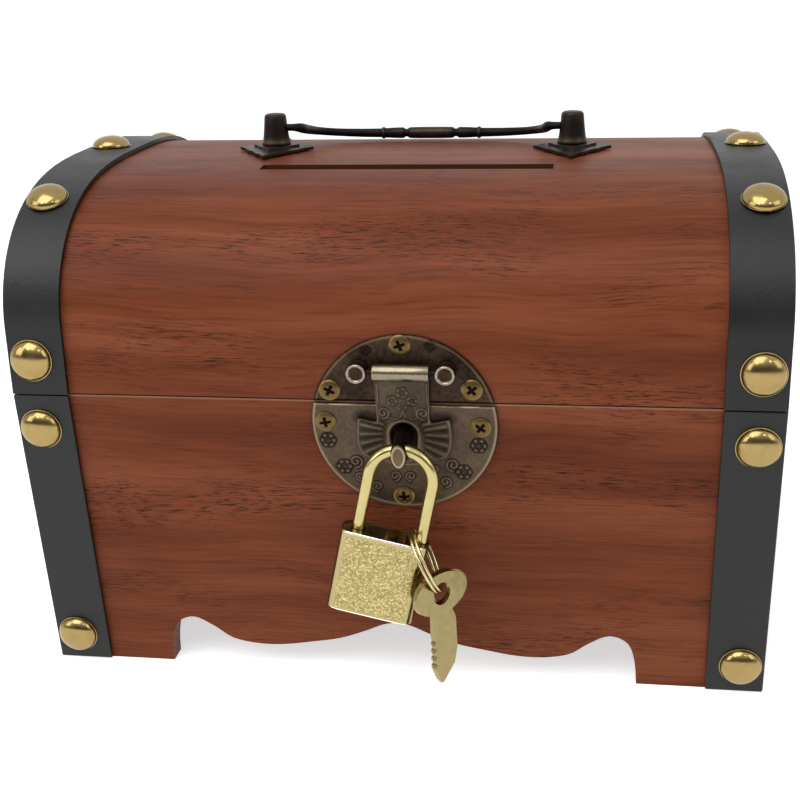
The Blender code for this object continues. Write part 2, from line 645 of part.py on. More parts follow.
def make_lock():
    """Lock plates, rivets, hasp with its pin, and the staple."""
    plate_mid = FIT_GAP + PLATE_THICKNESS / 2
    plate_top = FIT_GAP + PLATE_THICKNESS
    hinge_out = plate_top + FIT_GAP + KNUCKLE_RADIUS

    # Upper plate, on the straight wall of the lid, with its two rivets
    upper = flat_mesh("lock_plate_upper", [disc_part(True)] + [
        circle(RIVET_SHANK_RADIUS + FIT_GAP, side * RIVET_OFFSET, KNUCKLE_ABOVE_SEAM, 16)
        for side in (-1, 1)], PLATE_THICKNESS)
    upper.transform(Matrix.Translation((0.0, 0.0, plate_mid)))
    hang(keep("lock_plate_upper", upper, DARK_BRONZE), LOCK_LID)
    for side, side_name in ((-1, "left"), (1, "right")):
        base = plate_top + FIT_GAP
        top = base + RIVET_HEIGHT
        dish = RIVET_RADIUS - RIVET_RIM
        profile = [(0.0, top - RIVET_RECESS), (dish - RIVET_RECESS, top - RIVET_RECESS), (dish, top),
                   (RIVET_RADIUS - RIVET_RECESS / 2, top), (RIVET_RADIUS, top - RIVET_RECESS / 2),
                   (RIVET_RADIUS, base), (RIVET_SHANK_RADIUS, base),
                   (RIVET_SHANK_RADIUS, base - RIVET_SHANK - plate_top),
                   (0.0, base - RIVET_SHANK - plate_top)]
        rivet = turned(f"hasp_rivet_{side_name}", profile, STEEL, 24)
        rivet.location = (side * RIVET_OFFSET, KNUCKLE_ABOVE_SEAM, 0.0)
        hang(rivet, LOCK_LID)
        seat = rod_mesh("pin_seat", HASP_PIN_RADIUS + FIT_GAP, 2 * RIVET_RADIUS, 16,
                        (-side * RIVET_RADIUS, 0.0, hinge_out), "X")
        seat = keep(f"pin_seat_{side_name}", seat, None, True)
        seat.location = rivet.location
        boolean(rivet, hang(seat, LOCK_LID))
    pin_half = RIVET_OFFSET - FIT_GAP
    pin = rod_mesh("hasp_pin", HASP_PIN_RADIUS, 2 * pin_half, 16, (0.0, KNUCKLE_ABOVE_SEAM, hinge_out), "X")
    hang(keep("hasp_pin", pin, STEEL), LOCK_LID)
    wall_holes = joined([rod_mesh("hole", RIVET_SHANK_RADIUS + FIT_GAP, 2 * (RIVET_SHANK + FIT_GAP), 16,
                                  (side * RIVET_OFFSET, KNUCKLE_ABOVE_SEAM, 0.0)) for side in (-1, 1)],
                        "rivet_holes")
    rivet_holes = hang(keep("rivet_holes", wall_holes, None, True), LOCK_LID)

    # Hasp: knuckle barrel and winged flap, drawn about its own axis
    stand = flap_stand(hinge_out)
    neck = KNUCKLE_LENGTH / 2 - EDGE_INSET
    right = [(neck, 0.0), (neck, -FLAP_LENGTH * FLAP_NECK_SHARE)]
    right += [(x * WING_HALF_SPAN, -d * FLAP_LENGTH) for d, x in WING_SHARES]
    outline = right + [(-x, y) for x, y in reversed(right)]
    hole_top = STAPLE_BELOW_HINGE - STAPLE_HEIGHT / 2 - FIT_GAP * 2
    hole_bottom = STAPLE_BELOW_HINGE + STAPLE_HEIGHT / 2 + FLAP_HOLE_PAST
    hole = oval(STAPLE_WIDTH / 2 + FLAP_HOLE_SIDE, (hole_bottom - hole_top) / 2,
                -(hole_top + hole_bottom) / 2)
    flap = flat_mesh("hasp", [outline, hole], FLAP_THICKNESS)
    flap.transform(Matrix.Translation((0.0, 0.0, stand + FLAP_THICKNESS / 2)))
    hasp = hang(keep("hasp", flap, BRONZE), HASP)
    barrel = keep("hasp_barrel", rod_mesh("hasp_barrel", KNUCKLE_RADIUS, KNUCKLE_LENGTH, 24, axis="X"),
                  None, True)
    boolean(hasp, hang(barrel, HASP), "UNION")
    bore = keep("hasp_bore", rod_mesh("hasp_bore", HASP_PIN_RADIUS + FIT_GAP,
                                      KNUCKLE_LENGTH + OVERRUN, 16, axis="X"), None, True)
    boolean(hasp, hang(bore, HASP))

    # Lower plate on the leaning front, and the staple that stands through it
    staple_y = staple_height()
    root = oval(STAPLE_WIDTH / 2 + FIT_GAP, STAPLE_HEIGHT / 2 + FIT_GAP, staple_y)
    lower = flat_mesh("lock_plate_lower", [disc_part(False), root], PLATE_THICKNESS)
    lower.transform(Matrix.Translation((0.0, 0.0, plate_mid)))
    hang(keep("lock_plate_lower", lower, BRONZE), LOCK_BASE)
    tip = plate_top + STAPLE_WIRE_OUT + STAPLE_HOLE_RADIUS + STAPLE_END_WALL
    post = flat_mesh("staple", [oval(STAPLE_WIDTH / 2, STAPLE_HEIGHT / 2, staple_y)], tip + STAPLE_ROOT)
    post.transform(Matrix.Translation((0.0, 0.0, (tip - STAPLE_ROOT) / 2)))
    staple = hang(keep("staple", post, STEEL), LOCK_BASE)
    eye = rod_mesh("staple_eye", STAPLE_HOLE_RADIUS, STAPLE_WIDTH + OVERRUN, 20,
                   (0.0, staple_y + STAPLE_HOLE_RAISE, plate_top + STAPLE_WIRE_OUT), "X")
    boolean(staple, hang(keep("staple_eye", eye, None, True), LOCK_BASE))
    rounded(staple, STAPLE_END_WALL / 2, 1, 60.0)
    socket = flat_mesh("staple_socket", [root], 2 * (STAPLE_ROOT + FIT_GAP))
    socket = hang(keep("staple_socket", socket, None, True), LOCK_BASE)
    boolean(bpy.data.objects["front_board"], socket)
    boolean(bpy.data.objects["lid_shell"], rivet_holes)


def hasp_axis_place():
    """The hasp's axis in the frame of the leaning front: height and distance out."""
    out = FIT_GAP + PLATE_THICKNESS + FIT_GAP + KNUCKLE_RADIUS
    up = KNUCKLE_ABOVE_SEAM
    return (up * math.cos(LEAN) + out * math.sin(LEAN), out * math.cos(LEAN) - up * math.sin(LEAN))


def flap_stand(hinge_out):
    """Distance of the flap's inner face from the hasp's axis, measured outward."""
    return FIT_GAP + PLATE_THICKNESS + FLAP_STAND_OFF - hasp_axis_place()[1]


def staple_height():
    """The staple's middle along the leaning front, from the seam line."""
    return hasp_axis_place()[0] - STAPLE_BELOW_HINGE


def rosette_outline(share):
    """A lozenge with gently waved edges."""
    corners = [(ROSETTE_HALF_WIDTH, 0.0), (0.0, ROSETTE_HALF_DEPTH),
               (-ROSETTE_HALF_WIDTH, 0.0), (0.0, -ROSETTE_HALF_DEPTH)]
    points = []
    for k, (x0, y0) in enumerate(corners):
        x1, y1 = corners[(k + 1) % 4]
        for i in range(ROSETTE_POINTS):
            t = i / ROSETTE_POINTS
            wave = 1 - ROSETTE_SCALLOP_SHARE * abs(math.sin(ROSETTE_WAVES * math.pi * t))
            points.append(((x0 + (x1 - x0) * t) * wave * share, (y0 + (y1 - y0) * t) * wave * share))
    return points


def make_handle():
    """Two posts on lozenge plates, their nuts inside the lid, and the folding bail."""
    seat = CROWN_HEIGHT + FIT_GAP
    plate_top = seat + ROSETTE_THICKNESS + ROSETTE_STEP
    inside = CROWN_HEIGHT - SHELL_WALL
    pivot_z = CROWN_HEIGHT + POST_PIVOT_HEIGHT
    holes = []
    for side, side_name in ((-1, "left"), (1, "right")):
        x = HANDLE_OFFSET + side * POST_SPACING / 2
        name = f"handle_plate_{side_name}"
        bore = circle(POST_SHANK_RADIUS + FIT_GAP, sides=16)
        plate = flat_mesh(name, [rosette_outline(1.0), bore], ROSETTE_THICKNESS)
        plate.transform(Matrix.Translation((x, 0.0, seat + ROSETTE_THICKNESS / 2)))
        plate = box_place(keep(name, plate, DARK_BRONZE), LID)
        step = flat_mesh("step", [rosette_outline(ROSETTE_STEP_SHARE), bore],
                         ROSETTE_STEP + ROSETTE_THICKNESS)
        step.transform(Matrix.Translation((x, 0.0, seat + (ROSETTE_STEP + ROSETTE_THICKNESS) / 2)))
        boolean(plate, box_place(keep(f"{name}_step", step, None, True), LID), "UNION")
        base = plate_top + FIT_GAP
        top = CROWN_HEIGHT + POST_HEIGHT
        end = inside - NUT_HEIGHT - FIT_GAP * 2
        flare = (POST_BASE_RADIUS - POST_TOP_RADIUS) / 2
        profile = [(0.0, top), (POST_TOP_RADIUS - flare, top), (POST_TOP_RADIUS, top - flare),
                   (POST_TOP_RADIUS + flare / 3, pivot_z), (POST_BASE_RADIUS - flare, base + flare * 2),
                   (POST_BASE_RADIUS, base), (POST_SHANK_RADIUS, base), (POST_SHANK_RADIUS, end),
                   (0.0, end)]
        post = turned(f"handle_post_{side_name}", profile, DARK_BRONZE, 24)
        post.location = (x, 0.0, 0.0)
        box_place(post, LID)
        eye = rod_mesh("eye", BAIL_WIRE + FIT_GAP, 2 * POST_BASE_RADIUS, 16,
                       (x - side * (POST_TOP_RADIUS + POST_BASE_RADIUS - BAIL_PIN_DEPTH), 0.0, pivot_z),
                       "X")
        boolean(post, box_place(keep(f"bail_eye_{side_name}", eye, None, True), LID))
        nut = rod_mesh("nut", NUT_RADIUS, NUT_HEIGHT, NUT_SIDES,
                       (x, 0.0, inside - FIT_GAP - NUT_HEIGHT / 2))
        nut = box_place(keep(f"handle_nut_{side_name}", nut, STEEL), LID)
        thread = rod_mesh("thread", POST_SHANK_RADIUS + FIT_GAP, NUT_HEIGHT + 2 * OVERRUN, 16,
                          (x, 0.0, inside - NUT_HEIGHT / 2))
        boolean(nut, box_place(keep(f"nut_thread_{side_name}", thread, None, True), LID))
        holes.append(rod_mesh("hole", POST_SHANK_RADIUS + FIT_GAP, 2 * (SHELL_WALL + OVERRUN), 16,
                              (x, 0.0, CROWN_HEIGHT - SHELL_WALL / 2)))
    holes = box_place(keep("post_holes", joined(holes, "post_holes"), None, True), LID)
    boolean(bpy.data.objects["lid_shell"], holes)
    hang(keep("bail", bail_mesh(), DARK_BRONZE), BAIL)


def bail_mesh():
    """The bail in its own frame: pins along X, grip with beads and necks reaching toward +Y."""
    pin_end = POST_SPACING / 2 - POST_TOP_RADIUS + BAIL_PIN_DEPTH - FIT_GAP
    shoulder = POST_SPACING / 2 - POST_BASE_RADIUS - BAIL_WIRE
    pin = BAIL_WIRE / BAIL_GRIP
    half = [(pin_end / shoulder, 0.0, pin), *BAIL_ARM_SHARES]
    half = smooth_line(half, 3) + [(x, 1.0, wide) for x, wide in BAIL_GRIP_SHARES]
    line = [(-x, y, wide) for x, y, wide in half] + half[::-1]
    points = [(x * shoulder, y * BAIL_REACH, 0.0) for x, y, wide in line]
    return wire_mesh("bail", points, [wide * BAIL_GRIP for x, y, wide in line], 2)


def make_padlock():
    """Shackle through the staple, and the body that slides on its legs."""
    line = [(-SHACKLE_HALF_SPAN, 0.0, -SHACKLE_DROP - LONG_LEG)]
    arch = -SHACKLE_HALF_SPAN
    for k in range(17):
        turn = math.pi * (1 - k / 16)
        line.append((SHACKLE_HALF_SPAN * math.cos(turn), 0.0, arch + SHACKLE_HALF_SPAN * math.sin(turn)))
    line.append((SHACKLE_HALF_SPAN, 0.0, -SHACKLE_DROP - SHORT_LEG))
    shackle = wire_mesh("shackle", line, [SHACKLE_WIRE] * len(line), 3)
    shackle.transform(BODY.matrix_basis)
    hang(keep("shackle", shackle, PALE_BRASS), SHACKLE)

    mesh = block_mesh("padlock_body", (PADLOCK_WIDTH, PADLOCK_DEPTH, PADLOCK_HEIGHT),
                      (-PADLOCK_SHIFT, 0.0, -SHACKLE_DROP - PADLOCK_HEIGHT / 2))
    body = hang(keep("padlock_body", mesh, PALE_BRASS), BODY)
    upright_edges = body.modifiers.new("corners", "BEVEL")
    upright_edges.width = PADLOCK_ROUND
    upright_edges.segments = 4
    upright_edges.limit_method = "WEIGHT"
    weights = mesh.attributes.new("bevel_weight_edge", "FLOAT", "EDGE")
    for edge, weight in zip(mesh.edges, weights.data):
        a, b = (mesh.vertices[v].co for v in edge.vertices)
        weight.value = 1.0 if abs(a.z - b.z) > PADLOCK_HEIGHT / 2 else 0.0
    depths = ((-1, LONG_LEG), (1, SHORT_LEG))
    holes = [rod_mesh("hole", SHACKLE_WIRE + FIT_GAP, depth + FIT_GAP + OVERRUN, 20,
                      (side * SHACKLE_HALF_SPAN, 0.0,
                       -SHACKLE_DROP + (OVERRUN - depth - FIT_GAP) / 2)) for side, depth in depths]
    keyway = block_mesh("keyway", (KEYWAY_WIDTH, KEYWAY_THICKNESS, KEYWAY_DEPTH + OVERRUN),
                        (-PADLOCK_SHIFT, 0.0,
                         -SHACKLE_DROP - PADLOCK_HEIGHT + (KEYWAY_DEPTH - OVERRUN) / 2))
    cutter = keep("padlock_holes", joined(holes + [keyway], "padlock_holes"), None, True)
    boolean(body, hang(cutter, BODY))


def ring_centre():
    """Middle of the key ring in the padlock's frame: round the right leg, past the body's corner."""
    tilt = math.radians(RING_TILT_DEG)
    return Vector((SHACKLE_HALF_SPAN - RING_FROM_LEG + RING_SINK * math.sin(tilt), 0.0,
                   -SHACKLE_DROP - RING_SINK * math.cos(tilt)))


def make_ring():
    """Split ring of two turns, in a frame at its top: its wire there runs along Y."""
    points = []
    for k in range(RING_POINTS + 1):
        turn = 2 * math.pi * RING_TURNS * k / RING_POINTS + math.pi / 2
        shift = RING_PITCH * RING_TURNS * (k / RING_POINTS - 1 / 2)
        points.append((shift, RING_RADIUS * math.sin(turn), -RING_RADIUS - RING_RADIUS * math.cos(turn)))
    ring = wire_mesh("key_ring", points, [RING_WIRE] * len(points), 1)
    hang(keep("key_ring", ring, PALE_BRASS), RING)


def key_mesh(name):
    """A flat key: oval bow with a hole, neck, and a blade with teeth that tapers to its tip."""
    bow = []
    for k in range(33):
        turn = -math.pi / 2 + 2 * math.pi * k / 32
        x, y = KEY_BOW_HALF_WIDTH * math.cos(turn), KEY_BOW_HALF_HEIGHT * math.sin(turn)
        if y > 0.0 or x > KEY_NECK or x < -KEY_BLADE_LEFT:
            bow.append((x, y))
    foot = -KEY_BOW_HALF_HEIGHT
    tip = foot - KEY_BLADE_LENGTH
    flare = KEY_BLADE_RIGHT - KEY_NECK
    taper = KEY_BLADE_LEFT + KEY_BLADE_RIGHT
    start = foot - KEY_TEETH_START_SHARE * KEY_BLADE_LENGTH
    run = (start - tip - taper / 2) / KEY_TEETH
    blade = [(-KEY_BLADE_LEFT, foot)]
    for k in range(KEY_TEETH):
        for along, cut in KEY_TOOTH_SHARES:
            blade.append((cut * KEY_TOOTH - KEY_BLADE_LEFT, start - run * (k + along)))
    blade += [(-KEY_BLADE_LEFT, start - run * KEY_TEETH), (-KEY_POINT, tip), (-KEY_POINT / 2, tip),
              (KEY_BLADE_RIGHT - flare, tip + taper / 2), (KEY_BLADE_RIGHT, tip + taper),
              (KEY_BLADE_RIGHT, foot - flare - flare), (KEY_NECK, foot)]
    return flat_mesh(name, [bow + blade, circle(KEY_HOLE_RADIUS, sides=24)], KEY_THICKNESS)


def make_keys():
    """Two keys on the ring, a little fanned."""
    for k, (name, empty) in enumerate((("key_front", KEY_FRONT), ("key_back", KEY_BACK))):
        mesh = key_mesh(name)
        fan = math.radians(KEY_LEAN_DEG - k * KEY_FAN_DEG)
        mesh.transform(Matrix.Rotation(math.radians(KEY_YAW_DEG), 4, "Z")
                       @ Matrix.Rotation(math.radians(KEY_TIP_DEG), 4, "X")
                       @ Matrix.Rotation(math.pi / 2, 4, "X")
                       @ Matrix.Rotation(fan, 4, "Z")
                       @ Matrix.Translation((0.0, -KEY_DROP, 0.0)))
        hang(keep(name, mesh, PALE_BRASS), empty)


def make_hinges():
    """Two butt hinges on the back: a leaf on the lid, a leaf on the base and a pin each."""
    half, third = LEAF_WIDTH / 2, LEAF_WIDTH * KNUCKLE_SHARE / 2
    inner = LEAF_STAND - (BARREL_Y - HALF_SEAM)
    start = BARREL_RADIUS + FIT_GAP
    levels = (("upper", LID, 0.0, 1, ((-third, third),)),
              ("lower", BASE, -LEAN, -1, ((-half, -third - FIT_GAP), (third + FIT_GAP, half))))
    for side, side_name in ((-1, "left"), (1, "right")):
        x = side * HINGE_OFFSET
        for level, carrier, lean, turn, knuckles in levels:
            name = f"hinge_leaf_{level}_{side_name}"
            place = (Matrix.Translation((x, BARREL_Y, SEAM_HEIGHT)) @ Matrix.Rotation(lean, 4, "X"))
            sheet = block_mesh(name, (LEAF_WIDTH - 2 * EDGE_INSET, LEAF_THICKNESS, LEAF_HEIGHT),
                               (0.0, inner + LEAF_THICKNESS / 2, turn * LEAF_HEIGHT / 2))
            edges = [-half - OVERRUN] + [b for span in knuckles for b in span] + [half + OVERRUN]
            notches = [block_mesh(name, (right - left + 2 * EDGE_INSET, BARREL_RADIUS, start + OVERRUN),
                                  ((left + right) / 2, inner, turn * (start - OVERRUN) / 2))
                       for left, right in zip(edges[::2], edges[1::2]) if right - left < LEAF_WIDTH]
            barrels = [rod_mesh(name, BARREL_RADIUS, right - left, 20, ((left + right) / 2, 0.0, 0.0), "X")
                       for left, right in knuckles]
            bore = rod_mesh(name, HINGE_PIN_RADIUS + FIT_GAP, LEAF_WIDTH + 2 * OVERRUN, 16, axis="X")
            notches, barrels = joined(notches, name), joined(barrels, name)
            for mesh in (sheet, notches, barrels, bore):
                mesh.transform(place)
            leaf = box_place(keep(name, sheet, BRONZE), carrier)
            for kind, mesh, operation in (("notch", notches, "DIFFERENCE"), ("barrel", barrels, "UNION"),
                                          ("bore", bore, "DIFFERENCE")):
                tool = box_place(keep(f"{name}_{kind}", mesh, None, True), carrier)
                boolean(leaf, tool, operation)
        pin = rod_mesh("pin", HINGE_PIN_RADIUS, LEAF_WIDTH + 2 * FIT_GAP, 16,
                       (x, BARREL_Y, SEAM_HEIGHT), "X")
        box_place(keep(f"hinge_pin_{side_name}", pin, STEEL), BASE)


def centre_footprint():
    """Move the frame so that the middle of the whole part's depth lies over the origin."""
    bpy.context.view_layer.update()
    graph = bpy.context.evaluated_depsgraph_get()
    depths = []
    for made in PARTS.objects:
        if made.type == "MESH":
            solid = made.evaluated_get(graph)
            depths += [(solid.matrix_world @ v.co).y for v in solid.data.vertices]
    FRAME.location.y -= (min(depths) + max(depths)) / 2


# The groups that move, each carried by an empty on its axis
FRAME = pivot("frame")
BASE = pivot("base_group", FRAME, Matrix.Identity(4))
LID = pivot("lid_axis", FRAME, Matrix.Translation((0.0, BARREL_Y, SEAM_HEIGHT)))
LOCK_BASE = pivot("lock_front", BASE, Matrix.Translation((LOCK_OFFSET, -HALF_SEAM, SEAM_HEIGHT))
                  @ Matrix.Rotation(math.pi / 2 + LEAN, 4, "X"))
LOCK_LID = pivot("lock_lid", LID, Matrix.Translation((LOCK_OFFSET, -HALF_SEAM - BARREL_Y, 0.0))
                 @ Matrix.Rotation(math.pi / 2, 4, "X"))
HASP_OUT = FIT_GAP + PLATE_THICKNESS + FIT_GAP + KNUCKLE_RADIUS
HASP = pivot("hasp_axis", LOCK_LID, Matrix.Translation((0.0, KNUCKLE_ABOVE_SEAM, HASP_OUT))
             @ Matrix.Rotation(LEAN, 4, "X"))
BAIL = pivot("bail_axis", LID, Matrix.Translation(
    (HANDLE_OFFSET, -BARREL_Y, CROWN_HEIGHT + POST_PIVOT_HEIGHT - SEAM_HEIGHT))
    @ Matrix.Rotation(-math.radians(BAIL_LIFT_DEG), 4, "X"))
STAPLE_OUT = FIT_GAP + PLATE_THICKNESS + STAPLE_WIRE_OUT
SHACKLE = pivot("shackle_axis", LOCK_BASE,
                Matrix.Translation((0.0, staple_height() + STAPLE_HOLE_RAISE, STAPLE_OUT))
                @ Matrix.Rotation(-math.pi / 2 - LEAN, 4, "X"))
ARCH = Vector((0.0, 0.0, SHACKLE_HALF_SPAN))
BODY = pivot("body_slide", SHACKLE, Matrix.Translation(-ARCH)
             @ Matrix.Rotation(math.radians(PADLOCK_ROLL_DEG), 4, "Y") @ Matrix.Translation(ARCH))
RING_YAW = Matrix.Rotation(math.radians(RING_YAW_DEG), 4, "Z")
RING_TURN = Matrix.Rotation(-math.radians(RING_TILT_DEG), 4, "Y") @ RING_YAW
RING_TOP = ring_centre() + RING_TURN.to_3x3() @ Vector((0.0, 0.0, RING_RADIUS))
RING = pivot("ring_axis", BODY, Matrix.Translation(RING_TOP) @ RING_TURN)


def key_pivot(name, k):
    """A key's pivot at the foot of the ring, its own frame level with the box."""
    along = k * KEY_SPACING - KEY_FORWARD
    foot = Vector((RING_PITCH / 4, along, -RING_RADIUS - math.sqrt(RING_RADIUS ** 2 - along ** 2)))
    level = Matrix.Rotation(math.radians(RING_TILT_DEG - PADLOCK_ROLL_DEG), 4, "Y")
    return pivot(name, RING, Matrix.Translation(foot) @ RING_YAW.inverted() @ level)


KEY_FRONT = key_pivot("key_front_axis", 0)
KEY_BACK = key_pivot("key_back_axis", 1)

NAIL_HOLES = make_nails({"lid": LID, "base": BASE})
make_base(NAIL_HOLES["base"])
make_lid(NAIL_HOLES["lid"])
make_straps(NAIL_HOLES)
make_lock()
make_handle()
make_padlock()
make_ring()
make_keys()
make_hinges()
centre_footprint()
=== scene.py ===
import json

import bmesh
import bpy
import numpy as np
from mathutils import Matrix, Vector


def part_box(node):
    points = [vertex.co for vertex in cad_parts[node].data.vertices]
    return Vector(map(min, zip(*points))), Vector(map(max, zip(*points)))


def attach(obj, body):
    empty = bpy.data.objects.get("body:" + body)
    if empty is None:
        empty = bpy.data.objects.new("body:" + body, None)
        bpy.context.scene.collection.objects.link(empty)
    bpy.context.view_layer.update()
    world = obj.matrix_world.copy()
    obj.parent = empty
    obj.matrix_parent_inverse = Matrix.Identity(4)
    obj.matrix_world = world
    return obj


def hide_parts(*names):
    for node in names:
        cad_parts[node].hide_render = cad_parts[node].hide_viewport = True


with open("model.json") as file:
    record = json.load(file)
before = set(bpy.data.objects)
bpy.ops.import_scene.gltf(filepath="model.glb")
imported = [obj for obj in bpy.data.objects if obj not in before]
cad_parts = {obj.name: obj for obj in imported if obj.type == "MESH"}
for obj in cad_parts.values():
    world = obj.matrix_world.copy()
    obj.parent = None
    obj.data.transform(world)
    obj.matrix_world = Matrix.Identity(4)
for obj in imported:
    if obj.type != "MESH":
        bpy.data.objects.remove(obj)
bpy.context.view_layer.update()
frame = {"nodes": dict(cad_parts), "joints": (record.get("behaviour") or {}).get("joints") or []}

# The camera stands a little to the right of the lock and above it, tipped down, where the
# picture of the box was taken from. The picture is 800 pixels square, and its focus is in pixels.
PICTURE_SIDE = 800
PICTURE_FOCUS = 1330.5
FILM_SIDE = 36.0
MIDDLE_Y = (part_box("lid_shell")[0].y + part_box("lid_shell")[1].y) / 2
CAMERA_PLACE = (0.05304, MIDDLE_Y - 0.38842, 0.19621)
CAMERA_YAW = 0.154
CAMERA_PITCH = 0.334
CAMERA_ROLL = -0.028
NEAREST_SEEN = 0.01


def unit(v):
    """A direction, or each direction in an array, with length one."""
    v = np.asarray(v, float)
    return v / np.linalg.norm(v, axis=-1, keepdims=True)


def placed(name, data):
    """A new object with this data, in the scene."""
    made = bpy.data.objects.new(name, data)
    bpy.context.scene.collection.objects.link(made)
    return made


def facing(side, up, ahead, place):
    """The matrix of a camera or a lamp that looks ahead from its place."""
    matrix = np.eye(4)
    matrix[:3] = np.column_stack([side, up, -ahead, place])
    return Matrix(matrix.tolist())


def look(place, yaw, pitch, roll):
    """A camera's matrix: its heading is turned by yaw, tipped down by pitch, then rolled."""
    ahead = np.array([-np.sin(yaw) * np.cos(pitch), np.cos(yaw) * np.cos(pitch), -np.sin(pitch)])
    level = np.array([np.cos(yaw), np.sin(yaw), 0.0])
    above = np.cross(level, ahead)
    right = np.cos(roll) * level + np.sin(roll) * above
    up = np.cos(roll) * above - np.sin(roll) * level
    return facing(right, up, ahead, place)


camera = placed("camera", bpy.data.cameras.new("camera"))
camera.data.sensor_width = FILM_SIDE
camera.data.lens = FILM_SIDE * PICTURE_FOCUS / PICTURE_SIDE
camera.data.clip_start = NEAREST_SEEN
camera.matrix_world = look(CAMERA_PLACE, CAMERA_YAW, CAMERA_PITCH, CAMERA_ROLL)
bpy.context.scene.camera = camera
bpy.context.scene.view_settings.view_transform = "Standard"

# The studio: a soft white surround, three large soft lamps, and two small ones that spark in
# polished metal. The surround is white to the eye; to metal it is white above and behind, and grey
# in the dim room in front. Each lamp has its place, the place it is aimed at, its side and its power.
SURROUND_LIGHT = 0.42
ROOM_GREY = 0.16
ROOM_FRONT = (-0.55, 0.15)
ROOM_ABOVE = (0.15, 0.75)
LAMPS = (
    ("lamp_over", (-0.25, -0.55, 1.05), (0.0, 0.0, 0.08), 0.9, 7.6),
    ("lamp_left", (-1.0, -0.7, 0.55), (0.0, 0.0, 0.06), 0.6, 3.0),
    ("lamp_right", (1.0, -0.5, 0.65), (0.0, 0.0, 0.06), 0.6, 2.2),
    ("window_left", (-0.45, -1.0, 0.85), (0.0, 0.0, 0.06), 0.13, 0.55),
    ("window_right", (0.55, -0.85, 0.95), (0.0, 0.0, 0.06), 0.11, 0.45),
)


def linear(hex_color):
    """An sRGB hex colour as linear RGBA: each share is lowered by the sRGB curve."""
    share = np.array([int(hex_color[k:k + 2], 16) for k in (1, 3, 5)]) / 255
    low = share <= 0.04045
    value = np.where(low, share / 12.92, ((share + 0.055) / 1.055) ** 2.4)
    return (*value.tolist(), 1.0)


def add(tree, kind, inputs=None, **settings):
    """Add a node, with its settings, and with its sockets filled or linked."""
    made = tree.nodes.new(kind)
    for name, value in settings.items():
        setattr(made, name, value)
    for name, value in (inputs or {}).items():
        if isinstance(value, bpy.types.NodeSocket):
            tree.links.new(value, made.inputs[name])
        else:
            made.inputs[name].default_value = value
    return made


def maths(tree, operation, *values):
    """The result of a sum on values or sockets."""
    return add(tree, "ShaderNodeMath", dict(enumerate(values)), operation=operation).outputs[0]


def mapped(tree, value, low, high, start=0.0, end=1.0):
    """A value's place between low and high, as a value from start to end that goes no further."""
    return add(tree, "ShaderNodeMapRange", {0: value, 1: low, 2: high, 3: start, 4: end}).outputs[0]


def noise(tree, place, size, detail, output=0):
    """Soft noise with clouds of this size."""
    return add(tree, "ShaderNodeTexNoise", {"Vector": place, "Scale": 1 / size,
                                            "Detail": detail}).outputs[output]


def ramp(tree, value, *stops):
    """A colour for a value, from stops that each have a place and a hex colour or linear shares."""
    made = add(tree, "ShaderNodeValToRGB", {0: value})
    for k, (place, tone) in enumerate(stops):
        elements = made.color_ramp.elements
        stop = elements[k] if k < 2 else elements.new(place)
        stop.position, stop.color = place, linear(tone) if isinstance(tone, str) else (*tone, 1)
    return made.outputs[0]


def blend(tree, share, color, other, **settings):
    """A colour with a share of another colour blended in."""
    return add(tree, "ShaderNodeMix", {0: share, 6: color, 7: other}, data_type="RGBA",
               **settings).outputs[2]


def drive(tree, shader, color, roughness, height=None, strength=0.0, depth=0.0):
    """Let sockets drive a surface's colour and roughness, and its bumps if it has any."""
    tree.links.new(color, shader.inputs["Base Color"])
    tree.links.new(roughness, shader.inputs["Roughness"])
    if height is not None:
        bump = add(tree, "ShaderNodeBump", {"Height": height, "Strength": strength, "Distance": depth})
        tree.links.new(bump.outputs[0], shader.inputs["Normal"])


def coated(name, hex_color, roughness, metallic=0.0, **sockets):
    """A new material with a Principled surface: its node tree and the shader."""
    made = bpy.data.materials.new(name)
    made.use_nodes = True
    shader = made.node_tree.nodes["Principled BSDF"]
    shader.inputs["Base Color"].default_value = linear(hex_color)
    shader.inputs["Roughness"].default_value = roughness
    shader.inputs["Metallic"].default_value = metallic
    for socket, value in sockets.items():
        shader.inputs[socket.replace("_", " ")].default_value = value
    return made, made.node_tree, shader


world = bpy.data.worlds.new("surround")
bpy.context.scene.world = world
world.use_nodes = True
tree = world.node_tree
tree.nodes.clear()
ray = add(tree, "ShaderNodeLightPath").outputs
heading = add(tree, "ShaderNodeTexCoord").outputs["Generated"]
parts = add(tree, "ShaderNodeSeparateXYZ", {0: heading}).outputs
gloss = maths(tree, "MAXIMUM", mapped(tree, parts["Y"], *ROOM_FRONT, ROOM_GREY, 1.0),
              mapped(tree, parts["Z"], *ROOM_ABOVE))
straight = maths(tree, "MAXIMUM", ray["Is Camera Ray"], ray["Is Transmission Ray"])
light, mirrored, white = [
    add(tree, "ShaderNodeBackground", {"Color": linear(color), "Strength": strength}).outputs[0]
    for color, strength in (("#f4f6fa", SURROUND_LIGHT), ("#ffffff", gloss), ("#ffffff", 1.0))]
shown = add(tree, "ShaderNodeMixShader", {0: ray["Is Glossy Ray"], 1: light, 2: mirrored}).outputs[0]
shown = add(tree, "ShaderNodeMixShader", {0: straight, 1: shown, 2: white}).outputs[0]
add(tree, "ShaderNodeOutputWorld", {"Surface": shown})

for name, place, target, side, power in LAMPS:
    lamp = placed(name, bpy.data.lights.new(name, "AREA"))
    lamp.data.shape = "SQUARE"
    lamp.data.size = side
    lamp.data.energy = power
    down = unit(np.subtract(target, place))
    across = unit(np.cross(down, (0.0, 0.0, 1.0)))
    lamp.matrix_world = facing(across, np.cross(across, down), down, place)

